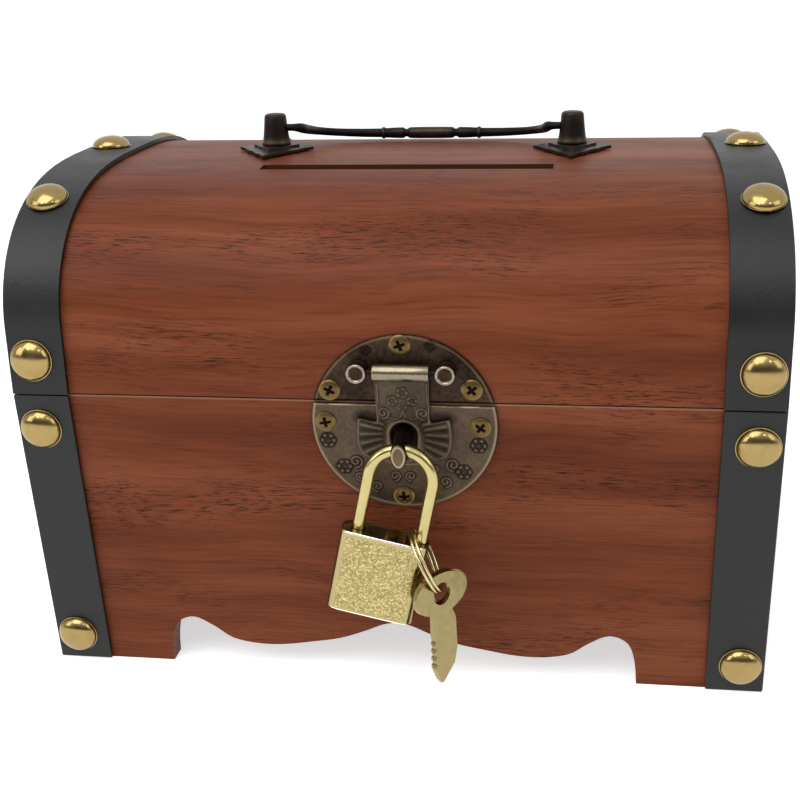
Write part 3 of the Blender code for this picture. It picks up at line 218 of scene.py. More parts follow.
# The floor is a sheet of pale matt paper, far wider than the picture. The part of it that the eye
# sees is lifted to the white of the surround, and the object's soft shadow stays on it.
FLOOR_HALF = 6.0
FLOOR_LIFT = 0.62


def piece(name, points, faces, smooth=True):
    """A mesh object at the origin from an array of points and a list or array of faces."""
    mesh = bpy.data.meshes.new(name)
    mesh.from_pydata(np.asarray(points, float).reshape(-1, 3).tolist(), [],
                     [list(map(int, f)) for f in faces])
    mesh.polygons.foreach_set("use_smooth", np.full(len(mesh.polygons), smooth))
    mesh.update()
    return placed(name, mesh)


floor_paper, tree, shader = coated("matt_floor_paper", "#f7f7f6", 0.9)
ray = add(tree, "ShaderNodeLightPath").outputs
seen = maths(tree, "MAXIMUM", ray["Is Camera Ray"], ray["Is Glossy Ray"])
shader.inputs["Emission Color"].default_value = linear("#ffffff")
tree.links.new(maths(tree, "MULTIPLY", seen, FLOOR_LIFT), shader.inputs["Emission Strength"])
corners = FLOOR_HALF * np.array([[-1, -1, 0], [1, -1, 0], [1, 1, 0], [-1, 1, 0]])
floor = piece("floor", corners, [[0, 1, 2, 3]], False)
floor.data.materials.append(floor_paper)

# The boards of the box and the arched lid: thin plywood faced with red-brown mahogany veneer,
# glued together and brushed with a satin varnish. The grain runs along the front, the back and the
# lid, and from front to back on the ends. Pores are drawn twice as wide as real ones, to show.
GRAIN_WIDTH = 0.0007
GRAIN_LENGTH = 0.030
PORE_WIDTH = 0.00034
PORE_LENGTH = 0.0055
BAND_WIDTH = 0.016
BAND_LENGTH = 0.19
WAVE_LENGTH = 0.0909
WAVE_REACH = 0.010
GRAIN_DEPTH = 0.00012
SEAM_Z = 0.0846
SEAM_LINE_BAND = (0.0008, 0.0003)
SLOT_HALF = (0.0405, 0.0026)
SLOT_Y = MIDDLE_Y - 0.0257
SLOT_SHADE_BAND = (0.0001, 0.0007)
RED_BROWN = ("#632e18", "#733a21", "#81462c", "#2c120a")
BARE_BROWN = ("#6d412c", "#80503a", "#8d5b42", "#452519")
SLOT_SHADE = "#4a2415"
PALE_SEAM_LINE = "#a5836a"
LID_ROUNDING = 0.00025
ONE_FACE_TURN = 0.05
SHARP_TURN = 30.0
ROUNDED_TURN = 32.0


def stretched(width, length, along):
    """Scale of a pattern so that one unit is so wide across the grain and so long along it."""
    scale = [1 / width] * 3
    scale[along] = 1 / length
    return scale


def veneer(name, along, tones, slot=False):
    """Varnished veneer, to the eye a warm brown with a soft sheen: wide bands, fine streaks and
    short dark pores in clusters, all drawn out along one axis and bent by a slow wave. A thin pale
    line runs along the base's boards just under the seam, and painted shade darkens the coin slot's
    walls and rim."""
    made, tree, shader = coated(name, tones[1], 0.46, Specular_IOR_Level=0.10, Coat_Weight=0.035,
                                Coat_Roughness=0.36)
    still = add(tree, "ShaderNodeTexCoord").outputs["Object"]
    wave = noise(tree, still, WAVE_LENGTH, 2.0, "Color")
    bent = add(tree, "ShaderNodeVectorMath", {0: wave, 1: (0.5, 0.5, 0.5)}, operation="SUBTRACT")
    bent = add(tree, "ShaderNodeVectorMath", {0: bent.outputs[0], "Scale": WAVE_REACH},
               operation="SCALE")
    place = add(tree, "ShaderNodeVectorMath", {0: still, 1: bent.outputs[0]},
                operation="ADD").outputs[0]
    values = {}
    for layer, width, length, detail in (("band", BAND_WIDTH, BAND_LENGTH, 3.0),
                                         ("streak", GRAIN_WIDTH, GRAIN_LENGTH, 5.0),
                                         ("pore", PORE_WIDTH, PORE_LENGTH, 2.0),
                                         ("patch", BAND_WIDTH * 0.9, BAND_LENGTH * 0.35, 2.0)):
        drawn = add(tree, "ShaderNodeMapping", {"Vector": place,
                                                "Scale": stretched(width, length, along)})
        values[layer] = add(tree, "ShaderNodeTexNoise", {
            "Vector": drawn.outputs[0], "Scale": 1.0, "Detail": detail, "Roughness": 0.6}).outputs[0]
    base = ramp(tree, values["band"], (0.34, tones[0]), (0.52, tones[1]), (0.68, tones[2]))
    streak = ramp(tree, values["streak"], (0.28, (0.60, 0.56, 0.54)), (0.47, (0.93, 0.93, 0.93)),
                  (0.70, (1.10, 1.10, 1.10)))
    color = blend(tree, 0.85, base, streak, blend_type="MULTIPLY")
    pore = maths(tree, "MULTIPLY", mapped(tree, values["pore"], 0.52, 0.66),
                 mapped(tree, values["patch"], 0.47, 0.62, 0.08, 0.95))
    color = blend(tree, pore, color, linear(tones[3]))
    parts = add(tree, "ShaderNodeSeparateXYZ", {0: still}).outputs
    if slot:
        # Painted shade: the coin slot's walls and a thin band round its rim are darkened.
        sides = []
        for axis, middle, half in (("X", 0.0, SLOT_HALF[0]), ("Y", SLOT_Y, SLOT_HALF[1])):
            away = maths(tree, "ABSOLUTE", maths(tree, "SUBTRACT", parts[axis], middle))
            sides.append(maths(tree, "SUBTRACT", away, half))
        slot_shade_and_seam_line = mapped(tree, maths(tree, "MAXIMUM", *sides), *SLOT_SHADE_BAND, 0.92, 0.0)
        slot_shade_and_seam_line_color = SLOT_SHADE
    else:
        # A thin pale line along the base's boards, 0.3 to 0.8 mm under the seam.
        slot_shade_and_seam_line = mapped(tree, parts["Z"], SEAM_Z - SEAM_LINE_BAND[0], SEAM_Z - SEAM_LINE_BAND[1], 0.0, 0.55)
        slot_shade_and_seam_line = maths(tree, "MULTIPLY", slot_shade_and_seam_line, maths(tree, "LESS_THAN", parts["Z"], SEAM_Z))
        slot_shade_and_seam_line_color = PALE_SEAM_LINE
    color = blend(tree, slot_shade_and_seam_line, color, linear(slot_shade_and_seam_line_color))
    rough = mapped(tree, values["streak"], 0.3, 0.7, 0.52, 0.40)
    height = maths(tree, "SUBTRACT", values["streak"], pore)
    drive(tree, shader, color, rough, height, 0.25, GRAIN_DEPTH)
    return made


def dress(material, *nodes):
    """Give CAD nodes a material."""
    for name in nodes:
        mesh = frame["nodes"][name].data
        mesh.materials.clear()
        mesh.materials.append(material)


def softened(name, node, material, body, width, segments=3, flat=1.0, outer=None):
    """A copy of a node's shape with its loose triangles merged, facets that turn by less than flat
    joined, and its edges rounded over: all its sharp ones, or those that the function outer picks
    from an array of their two ends."""
    mesh = bmesh.new()
    mesh.from_mesh(frame["nodes"][node].data)
    bmesh.ops.remove_doubles(mesh, verts=mesh.verts, dist=1e-6)
    bmesh.ops.dissolve_limit(mesh, angle_limit=np.radians(flat), verts=mesh.verts, edges=mesh.edges)
    data = bpy.data.meshes.new(name)
    mesh.to_mesh(data)
    mesh.free()
    made = placed(name, data)
    for face in data.polygons:
        face.use_smooth = True
    data.set_sharp_from_angle(angle=np.radians(SHARP_TURN))
    round_over = made.modifiers.new("round_over", "BEVEL")
    round_over.width = width
    round_over.segments = segments
    round_over.harden_normals = True
    round_over.angle_limit = np.radians(ROUNDED_TURN)
    if outer is not None:
        round_over.limit_method = "WEIGHT"
        ends = np.array([[data.vertices[v].co for v in edge.vertices] for edge in data.edges])
        weights = data.attributes.new("bevel_weight_edge", "FLOAT", "EDGE")
        weights.data.foreach_set("value", outer(ends).astype(np.float32))
    data.materials.append(material)
    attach(made, body)
    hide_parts(node)
    return made


softened("veneered_lid", "lid_shell", veneer("varnished_mahogany_veneer_lid", 0, RED_BROWN, slot=True),
         "lid", LID_ROUNDING, 2, ONE_FACE_TURN)
dress(veneer("varnished_mahogany_veneer_long", 0, RED_BROWN), "front_board", "back_board")
dress(veneer("varnished_mahogany_veneer_ends", 1, RED_BROWN), "end_board_left", "end_board_right",
      "lid_end_left", "lid_end_right")
dress(veneer("bare_plywood_floor", 0, BARE_BROWN), "floor_board")

# The straps: strips of black split leather with a pressed grain, laid over the ends of the lid
# and down the corners of the base, and held by the domed nails.
LEATHER_GRAIN = 0.0009
LEATHER_GRAIN_DEPTH = 0.00012
RUB_SIZE = 0.01818
STRAP_ROUNDING = 0.0003


def pressed_leather():
    """Black split leather, to the eye a dull black that sparkles a little: cells of a pressed
    grain as bump, and faint grey where it is rubbed."""
    made, tree, shader = coated("pressed_black_leather", "#111214", 0.42, Specular_IOR_Level=0.36)
    place = add(tree, "ShaderNodeTexCoord").outputs["Object"]
    cells = add(tree, "ShaderNodeTexVoronoi", {"Vector": place, "Scale": 1 / LEATHER_GRAIN},
                feature="SMOOTH_F1")
    rub = noise(tree, place, RUB_SIZE, 4.0)
    tint = ramp(tree, rub, (0.35, "#0c0d0e"), (0.62, "#131415"), (0.80, "#1f2021"))
    rough = mapped(tree, rub, 0.3, 0.7, 0.36, 0.52)
    drive(tree, shader, tint, rough, cells.outputs["Distance"], 0.4, LEATHER_GRAIN_DEPTH)
    return made


LEATHER = pressed_leather()
for side in ("left", "right"):
    softened(f"leather_lid_strap_{side}", f"lid_strap_{side}", LEATHER, "lid",
             STRAP_ROUNDING, 2, ONE_FACE_TURN)
    for face in ("front", "back"):
        softened(f"leather_base_strap_{side}_{face}", f"base_strap_{side}_{face}", LEATHER, "base",
                 STRAP_ROUNDING, 2, ONE_FACE_TURN)

# The strap nails: domed heads pressed from brass sheet and polished, with a rolled rim, driven
# through the straps into the boards. Each row gives a head's foot from the box's middle as (y, z),
# then the way it faces. The front of the base leans out by FRONT_LEAN from its foot to the seam.
HEAD_RADIUS = 0.0057
HEAD_RISE = 0.0030
HEAD_RIM = 0.00012
HEAD_STEPS = 15
NAIL_X = 0.0934
FRONT_LEAN = 0.0101
LEAN = unit((0.0, -FRONT_LEAN, SEAM_Z))
BASE_FACE = (-LEAN[2], LEAN[1])
NAIL_ROWS = {
    "lid_{}_crown": ((0.0, 0.1393), (0.00727, 0.99997)),
    "lid_{}_front_upper": ((-0.051289, 0.132906), (-0.3867, 0.92221)),
    "lid_{}_front_lower": ((-0.0735, 0.0942), (-1.0, 0.0)),
    "base_{}_front_upper": ((-0.072329, 0.074687), BASE_FACE),
    "base_{}_front_lower": ((-0.064438, 0.008587), BASE_FACE),
}
HANDLED_SPOT = 0.00238
SHADED = 0.55


def handled(name, hex_color, roughness, mottle):
    """Smooth bright metal that has been handled: its gloss varies in spots, and up to the share
    mottle of them is a darker tone of its colour."""
    made, tree, shader = coated(name, hex_color, roughness, 1.0)
    place = add(tree, "ShaderNodeTexCoord").outputs["Object"]
    spots = noise(tree, place, HANDLED_SPOT, 4.0)
    dark = tuple(SHADED * c for c in linear(hex_color)[:3]) + (1.0,)
    tint = blend(tree, mapped(tree, spots, 0.45, 0.75, 0.0, mottle), linear(hex_color), dark)
    drive(tree, shader, tint, mapped(tree, spots, 0.3, 0.7, roughness, roughness + 0.14))
    return made


def finished(made, material, body, slot, *nodes, sharp=40.0, wear_and_shade=None):
    """Close the seams and poles of a new piece, turn its faces outwards, mark its sharp edges and
    give it its material, its body and the nodes that it stands for. Its slot is not used."""
    if wear_and_shade is not None:
        spots = made.data.attributes.new("wear_and_shade", "FLOAT", "POINT")
        spots.data.foreach_set("value", np.asarray(wear_and_shade, np.float32).ravel())
    mesh = bmesh.new()
    mesh.from_mesh(made.data)
    bmesh.ops.remove_doubles(mesh, verts=mesh.verts, dist=1e-7)
    bmesh.ops.recalc_face_normals(mesh, faces=mesh.faces)
    mesh.to_mesh(made.data)
    mesh.free()
    made.data.set_sharp_from_angle(angle=np.radians(sharp))
    made.data.materials.append(material)
    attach(made, body)
    if nodes:
        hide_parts(*nodes)
    return made


def grid_faces(rows, columns, around=False):
    """The quads of a grid of points, closed round its columns if asked."""
    r, c = np.meshgrid(np.arange(rows - 1), np.arange(columns if around else columns - 1), indexing="ij")
    n = (c + 1) % columns
    return np.stack([r * columns + c, r * columns + n, (r + 1) * columns + n, (r + 1) * columns + c],
                    axis=-1).reshape(-1, 4)


def turned(name, profile, foot, out, sides=48, ring=False):
    """A turned piece: foot + radius (cos t side + sin t other) + height out, for a profile of
    (radius, height) pairs and t round the axis. A ring's profile is a loop; any other starts and
    ends on the axis."""
    out = unit(out)
    side = unit(np.cross(out, (1.0, 0.0, 0.0) if abs(out[0]) < 0.9 else (0.0, 1.0, 0.0)))
    other = np.cross(out, side)
    turn = np.linspace(0, 2 * np.pi, sides, endpoint=False)
    profile = np.array(list(profile) + ([profile[0]] if ring else []), float)
    radius, height = profile.T
    circle = np.cos(turn)[:, None] * side + np.sin(turn)[:, None] * other
    points = np.asarray(foot) + radius[:, None, None] * circle + height[:, None, None] * out
    return piece(name, points, grid_faces(len(radius), sides, True))


# Polished brass: a warm mirror in which the lamps stand as small sharp lights.
STUD_BRASS = handled("polished_pressed_brass", "#9c8656", 0.11, 0.22)
arc = np.linspace(0.0, np.pi / 2, HEAD_STEPS)
dome = [(HEAD_RADIUS * np.sin(a) * 0.965, HEAD_RISE * np.cos(a)) for a in arc]
dome += [(HEAD_RADIUS, -HEAD_RIM / 6), (HEAD_RADIUS * 0.985, -HEAD_RIM), (0.0, -HEAD_RIM)]
for side, x in (("left", -NAIL_X), ("right", NAIL_X)):
    for pattern, ((y, z), (out_y, out_z)) in NAIL_ROWS.items():
        for face, face_name in ((1, "front"), (-1, "back")):
            label = pattern.format(side).replace("front", face_name)
            if face < 0 and "crown" in label:
                continue
            head = turned(f"stud_{label}", dome, (x, MIDDLE_Y + face * y, z),
                          (0.0, face * out_y, out_z))
            finished(head, STUD_BRASS, label.split("_")[0], "polished_brass", f"nail_{label}",
                     sharp=60.0)

# The lock plates: a round plate of cast bronze, cut in two at the seam. The lid's half is dark and
# plain with a rubbed rim; the base's half is greyer, with rosettes and scrolls. Six screws hold
# them. Sizes on a face are in millimetres: across, up and out from the seam behind the lock.
MM = 0.001
LOCK_X = 0.0048
FRONT_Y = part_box("lid_shell")[0].y
SEAM_FOOT = np.array([LOCK_X, FRONT_Y, SEAM_Z])
UPRIGHT = np.array([0.0, 0.0, 1.0])
ACROSS = np.array([1.0, 0.0, 0.0])
PLATE_RADIUS = 24.2
PLATE_DROP = 6.2
PLATE_SPLIT = 0.45
PLATE_BACK = 0.32
PLATE_FACE = 1.02
LIP_RISE = 0.20
MARK_RISE = 0.26
EDGE_FALL = 0.35
SCROLL_LINE = 0.34
SCROLL_TURNS = 1.4
PATINA_GRAIN = 0.00111
PATINA_CLOUD = 0.00769
CASTING_DEPTH = 0.00004
# How much darker the ground is round a mark, and how much brighter the rubbed lip and marks are.
LOWER_WEAR = (0.40, 0.52, 0.18)
UPPER_WEAR = (0.20, 0.24, 0.10)
LOWER_ROSETTES = ((-20.1, -11.1), (19.1, -11.6), (-16.2, -18.7), (15.1, -19.4))
LOWER_SCROLLS = ((-13.1, -17.1, 1.9, 1), (12.3, -17.4, 1.9, -1), (-7.7, -24.4, 1.6, -1),
                 (10.3, -22.5, 1.6, 1), (-2.9, -21.1, 1.5, 1), (1.2, -21.1, 1.5, -1),
                 (-12.2, -21.6, 1.3, -1), (7.4, -18.6, 1.2, 1))
UPPER_MOTIFS = ((-9.3, 13.9), (7.2, 15.2))
PLATE_SCREWS = (("lid", -0.5, 15.3, 20), ("lid", -18.9, 3.1, 65), ("lid", 17.6, 3.9, 38),
                ("base", -20.4, -5.7, 10), ("base", 19.7, -6.3, 52), ("base", -0.8, -27.0, 3))
SCREW_RADIUS = 2.75
SCREW_RISE = 0.95


def slab(name, origin, up, x, y, height, level, around=False, across=ACROSS):
    """A closed plate on a face, drawn in millimetres across, up and out of it: a front grid over
    (x, y) at its height, the same grid at the level of its back, and a wall round their open edges.
    A first row that is one point is a pole and has no wall."""
    turn = np.stack([across, up, np.cross(across, up)])
    front, back = [origin + np.stack([x, y, np.broadcast_to(out, x.shape)], axis=-1) * MM @ turn
                   for out in (height, level)]
    rows, columns = x.shape
    count = rows * columns
    index = np.arange(count).reshape(rows, columns)
    quads = grid_faces(rows, columns, around)
    pole = np.ptp(front[0], axis=0).max() < 1e-9
    if around:
        edges = [index[-1]] if pole else [index[-1], index[0]]
        loops = [np.append(edge, edge[0]) for edge in edges]
    else:
        loops = [np.concatenate([index[-1], index[-2::-1, -1], index[0, -2::-1], index[1:, 0]])]
    walls = [np.stack([loop[:-1], loop[1:], loop[1:] + count, loop[:-1] + count], axis=-1)
             for loop in loops]
    faces = np.concatenate([quads, quads[:, ::-1] + count] + walls)
    return piece(name, np.concatenate([front.reshape(-1, 3), back.reshape(-1, 3)]), faces)


def step_up(value, low, high):
    """Smooth step from 0 at low to 1 at high."""
    t = np.clip((value - low) / (high - low), 0.0, 1.0)
    return t * t * (3 - 2 * t)


def ridge(x, y, line, width):
    """A rounded line in relief: exp(-(d / width)^2), where d is the distance to the line."""
    line = np.asarray(line, float)
    start, run = line[:-1], np.diff(line, axis=0)
    px, py = x[..., None] - start[:, 0], y[..., None] - start[:, 1]
    along = np.clip((px * run[:, 0] + py * run[:, 1]) / (run ** 2).sum(axis=1), 0.0, 1.0)
    away = np.hypot(px - along * run[:, 0], py - along * run[:, 1]).min(axis=-1)
    return np.exp(-(away / width) ** 2)


def scroll(x, y, cx, cy, size, hand, start=-1.6):
    """A volute: a ridge on a spiral whose radius falls evenly from its size to a fifth of it."""
    t = np.linspace(0.0, 1.0, 30)
    turn = start + hand * t * SCROLL_TURNS * 2 * np.pi
    reach = size * (1.0 - 0.8 * t)
    line = np.stack([cx + reach * np.cos(turn), cy + reach * np.sin(turn)], axis=-1)
    return ridge(x, y, line, SCROLL_LINE)


def rosette(x, y, cx, cy, size, petals=6):
    """A flower: petals round a button, both fading as exp of the squared distance."""
    away, turn = np.hypot(x - cx, y - cy) / size, np.arctan2(y - cy, x - cx)
    leaf = np.exp(-((away - 0.62) / 0.21) ** 2) * (0.70 + 0.30 * np.cos(petals * turn))
    return np.maximum(leaf, 0.8 * np.exp(-(away / 0.17) ** 2))


def aged(name, deep, plain, bright, roughness, metallic=0.85):
    """Metal with a patina: dark in the ground of its relief, and rubbed bright and smoother on
    what stands up. Its attribute is 0 in the ground and 1 on the heights, and lower where a piece
    has painted shade; noise of a fine casting grain and of slow clouds breaks its edges."""
    made, tree, shader = coated(name, plain, roughness, metallic)
    place = add(tree, "ShaderNodeTexCoord").outputs["Object"]
    wear_and_shade = add(tree, "ShaderNodeAttribute", attribute_name="wear_and_shade").outputs["Fac"]
    fine = noise(tree, place, PATINA_GRAIN, 4.0)
    stir = maths(tree, "ADD", fine, noise(tree, place, PATINA_CLOUD, 2.0))
    share = maths(tree, "MULTIPLY_ADD", maths(tree, "SUBTRACT", stir, 1.0), 0.22, wear_and_shade)
    tint = ramp(tree, share, (0.04, deep), (0.40, plain), (0.95, bright))
    rough = mapped(tree, share, 0.0, 1.0, roughness + 0.16, roughness - 0.08)
    drive(tree, shader, tint, rough, fine, 0.25, CASTING_DEPTH)
    return made


def half_plate(hand, rows=130, columns=300):
    """Grid over one side of the split: rays turn about the split's middle, and each row lies at
    a share of the way from there to the round edge, where |p - centre| is the plate's radius."""
    turn = np.linspace(0.0, np.pi, columns) * hand
    ray = np.stack([np.cos(turn), np.sin(turn)], axis=-1)
    middle = np.array([0.0, hand * PLATE_SPLIT])
    lift = middle - (0.0, -PLATE_DROP)
    along = ray @ lift
    reach = np.sqrt(along ** 2 + PLATE_RADIUS ** 2 - lift @ lift) - along
    share = np.linspace(0.0, 1.0, rows)[:, None, None]
    return np.moveaxis(middle + share * reach[:, None] * ray, -1, 0)


def plate_relief(x, y, hand):
    """Relief in millimetres over the plate's face, and how much it is rubbed less its painted shade:
    a rolled rim exp(-((d - 0.55) / 0.34)^2) at a distance d from the edge, the ornaments, and edges
    that fall away. Under the hasp the lower plate gets painted shade, above the wings and round the
    staple, where the hasp would cast shadow."""
    rim = PLATE_RADIUS - np.hypot(x, y + PLATE_DROP)
    seam = hand * y - PLATE_SPLIT
    lip = np.exp(-((rim - 0.55) / 0.34) ** 2)
    marks, shade = np.zeros_like(x), 0.0
    if hand < 0:
        for cx, cy in LOWER_ROSETTES:
            marks = np.maximum(marks, rosette(x, y, cx, cy, 2.5))
        for cx, cy, size, turn in LOWER_SCROLLS:
            marks = np.maximum(marks, scroll(x, y, cx, cy, size, turn))
        lip = np.maximum(lip, 0.8 * np.exp(-((seam - 0.3) / 0.25) ** 2))
        # Painted shade: dark patches above the hasp's wings and round the staple inside the flap's hole.
        shade = 0.26 * (1 - step_up(np.hypot((np.abs(x) - 9.8) / 3.6, (y + 4.2) / 2.0), 0.5, 1.3))
        shade = np.maximum(shade, 0.5 * (1 - step_up(np.hypot(x, (y + 9.4) / 1.3), 4.0, 5.6)))
    else:
        for cx, cy in UPPER_MOTIFS:
            marks = np.maximum(marks, 0.7 * rosette(x, y, cx, cy, 1.6, 4))
    fall = EDGE_FALL * (1 - step_up(np.minimum(rim, seam), 0.0, 0.3))
    darker, lip_rub, mark_rub = LOWER_WEAR if hand < 0 else UPPER_WEAR
    ground = 0.46 - darker * step_up(marks, 0.01, 0.16) * (1 - step_up(marks, 0.40, 0.75))
    wear_and_shade = ground + lip_rub * lip * step_up(rim, 0.0, 0.5) + mark_rub * marks
    return LIP_RISE * lip + MARK_RISE * marks - fall, wear_and_shade - shade


# Cast bronze, darkened in a bath and then rubbed: the upper plate stays nearly black with a warm
# rim, and the lower one is grey-brown, with dark grounds, paler marks and painted shade under the hasp.
DARK_BRONZE = aged("dark_cast_bronze", "#0a0504", "#1c110c", "#7a6349", 0.40)
GREY_BRONZE = aged("grey_cast_bronze", "#100b08", "#42362a", "#82715a", 0.40)
for hand, up, body, metal, label, slot in (
        (1, UPRIGHT, "lid", DARK_BRONZE, "upper", "dark_bronze"),
        (-1, LEAN, "base", GREY_BRONZE, "lower", "antique_bronze")):
    x, y = half_plate(hand)
    height, wear_and_shade = plate_relief(x, y, hand)
    made = slab(f"relief_plate_{label}", SEAM_FOOT, up, x, y, PLATE_FACE + height, PLATE_BACK)
    finished(made, metal, body, slot, f"lock_plate_{label}", wear_and_shade=np.stack([wear_and_shade, wear_and_shade]))


def round_grid(rows, columns):
    """Shares of the way out from a middle, and angles round it."""
    return np.meshgrid(np.linspace(0.0, 1.0, rows), np.linspace(0, 2 * np.pi, columns, endpoint=False),
                       indexing="ij")


# Brass screws gone brown in their slots: yellow only where the driver and hands have rubbed them.
SCREW_BRASS = aged("tarnished_screw_brass", "#150d06", "#4a3a21", "#735d38", 0.36, 0.9)


def screw(name, body, origin, up, x, y, level, twist, radius=SCREW_RADIUS, rise=SCREW_RISE,
          across=ACROSS):
    """A screw's cross-slotted raised head: a dome, rise * sqrt(1 - (0.86 r)^2) and a little more at
    its edge, less a cross of two narrow slots that taper to their ends."""
    share, turn = round_grid(34, 96)
    px, py = share * radius * np.cos(turn), share * radius * np.sin(turn)
    spin = np.radians(twist)
    u = np.abs(px * np.cos(spin) + py * np.sin(spin)) / radius
    v = np.abs(py * np.cos(spin) - px * np.sin(spin)) / radius
    short, far = np.minimum(u, v), np.maximum(u, v)
    cross = (1 - step_up(short, 0.10, 0.17)) * (1 - step_up(far, 0.42, 0.60))
    dome = np.sqrt(1 - (0.86 * share) ** 2)
    height = level + rise * (dome - dome.min() + 0.25) / (1.25 - dome.min()) - 0.62 * rise * cross
    head = slab(name, origin, up, px + x, py + y, height, level, True, across)
    wear_and_shade = 0.72 * (1 - cross) + 0.2 * step_up(share, 0.7, 0.95)
    finished(head, SCREW_BRASS, body, "polished_brass", wear_and_shade=np.stack([wear_and_shade, wear_and_shade]), sharp=50.0)


for k, (body, x, y, twist) in enumerate(PLATE_SCREWS):
    screw(f"plate_screw_{k}", body, SEAM_FOOT, UPRIGHT if body == "lid" else LEAN, x, y, PLATE_FACE,
          twist)

# The hasp: a cast bronze flap that hangs from a rolled knuckle between two posts on the lid. Its
# neck carries a bunch of flowers and two volutes, and its wings fan out in flutes from the hole.
JOINTS = {joint["name"]: joint for joint in frame["joints"]}
HASP_AXIS = np.array(JOINTS["hasp_hinge"]["pos_m"])
KNUCKLE_RADIUS = 2.2
KNUCKLE_BORE = 0.98
KNUCKLE_HALF = 7.2
FLAP_BACK = -1.03
FLAP_FACE = -0.18
FLAP_MARK_RISE = 0.30
FLUTE_RISE = 0.34
FLUTE_TURN = 14.0
FAN_RISE = 2.0
HOLE_MIDDLE = -19.4
HOLE_HALF = (3.15, 5.0)
FLAP_HALF = ((6.85, -0.2), (7.0, -0.8), (6.95, -13.4), (7.1, -14.1), (8.6, -13.9), (10.4, -13.4),
             (11.8, -13.1), (12.2, -14.2), (12.35, -16.0), (12.5, -18.2), (12.4, -20.4), (11.9, -22.3),
             (11.0, -23.7), (9.6, -24.4), (8.4, -24.5), (7.2, -25.1), (5.4, -25.3), (4.2, -26.1),
             (2.6, -26.5), (0.0, -26.6))
FLOWERS = ((0.0, -5.6, 1.9), (-2.6, -7.9, 1.7), (2.5, -7.8, 1.7), (0.0, -9.6, 1.5))
STEMS = (((0.0, -11.0), (-0.4, -12.4), (-2.2, -13.2), (-3.8, -12.6)),
         ((0.0, -11.0), (0.5, -12.4), (2.3, -13.2), (3.9, -12.6)))
NECK_SCROLLS = ((-5.0, -11.3, 1.7, 1), (5.0, -11.3, 1.7, -1))
NECK_BORDER = ((6.3, -3.0), (6.3, -9.0))


def flap_grid(rows=56, count=420):
    """Grid from the flap's hole to its outline: each column is the part of a ray from the hole's
    middle between the two, and the corners of the outline are kept among the columns. The hole is
    a slot, two half circles of the radius w joined by straight sides: a ray leaves it at
    w / |cos| on a side, or else at s |sin| + sqrt(w^2 - (s cos)^2) on a round end, where s is half
    of the straight part. Gives x, y and the distances from the hole and from the edge."""
    half = np.array(FLAP_HALF)
    outline = np.concatenate([half, (half * (-1, 1))[-2::-1], half[:1]])
    run = np.concatenate([[0.0], np.cumsum(np.hypot(*np.diff(outline, axis=0).T))])
    places = np.union1d(np.linspace(0.0, run[-1], count), run)[:-1]
    edge = np.stack([np.interp(places, run, outline[:, k]) for k in (0, 1)], axis=-1)
    ray = edge - (0.0, HOLE_MIDDLE)
    turn = np.arctan2(ray[:, 1], ray[:, 0])
    width, straight = HOLE_HALF[0], HOLE_HALF[1] - HOLE_HALF[0]
    side = np.abs(width / np.where(np.abs(np.cos(turn)) < 1e-6, 1e-6, np.cos(turn)))
    round_end = (straight * np.abs(np.sin(turn))
                 + np.sqrt(np.maximum(width ** 2 - (straight * np.cos(turn)) ** 2, 0.0)))
    reach = np.where(side * np.abs(np.sin(turn)) <= straight, side, round_end)
    hole = (0.0, HOLE_MIDDLE) + reach[:, None] * unit(ray)
    share = np.linspace(0.0, 1.0, rows)[:, None, None]
    grid = hole + share * (edge - hole)
    span, share = np.hypot(*(edge - hole).T), share[..., 0]
    return grid[..., 0], grid[..., 1], share * span, (1 - share) * span


def flap_relief(x, y, from_hole, from_edge):
    """Relief in millimetres over the flap, and how much it is rubbed: flutes that rise as a cosine
    of the angle round a point above the hole, flowers, stems and volutes on the neck, a lip round
    the hole, and edges that fall away."""
    turn = np.degrees(np.arctan2(y - HOLE_MIDDLE - FAN_RISE, np.abs(x)))
    wing = step_up(from_hole, 1.6, 3.0) * step_up(from_edge, 0.4, 1.4) * step_up(np.abs(x), 3.6, 5.0)
    wing = wing * step_up(turn, -52, -44) * (1 - step_up(turn, 34, 40))
    flutes = (0.5 + 0.5 * np.cos(np.radians(turn * 360 / FLUTE_TURN))) * wing
    marks = np.zeros_like(x)
    for cx, cy, size in FLOWERS:
        marks = np.maximum(marks, rosette(x, y, cx, cy, size, 5))
    for line in STEMS:
        marks = np.maximum(marks, 0.8 * ridge(x, y, line, 0.32))
    for cx, cy, size, hand in NECK_SCROLLS:
        marks = np.maximum(marks, scroll(x, y, cx, cy, size, hand))
    border = ridge(np.abs(x), y, NECK_BORDER, 0.3)
    marks = np.maximum(marks * step_up(from_edge, 0.2, 0.8), 0.7 * border)
    lip = np.exp(-((from_hole - 0.75) / 0.45) ** 2)
    fall = 0.4 * (1 - step_up(from_edge, 0.0, 0.35)) + 0.3 * (1 - step_up(from_hole, 0.0, 0.3))
    wear_and_shade = 0.40 - 0.30 * step_up(marks, 0.02, 0.2) * (1 - step_up(marks, 0.2, 0.5)) + 0.16 * marks
    wear_and_shade += wing * (0.42 * flutes - 0.26) + 0.25 * lip
    wear_and_shade += 0.25 * np.exp(-((from_edge - 0.35) / 0.3) ** 2)
    return FLAP_MARK_RISE * (marks + lip) + FLUTE_RISE * flutes - fall, wear_and_shade


# Cast bronze like the lower plate's, rubbed more, because fingers lift the flap by its wings.
HASP_BRONZE = aged("rubbed_cast_bronze", "#110c09", "#43392d", "#85755c", 0.36)
x, y, from_hole, from_edge = flap_grid()
height, wear_and_shade = flap_relief(x, y, from_hole, from_edge)
flap = slab("hasp_flap", HASP_AXIS, LEAN, x, y, FLAP_FACE + height, FLAP_BACK, True)
finished(flap, HASP_BRONZE, "hasp", "antique_bronze", "hasp", wear_and_shade=np.stack([wear_and_shade, wear_and_shade]))

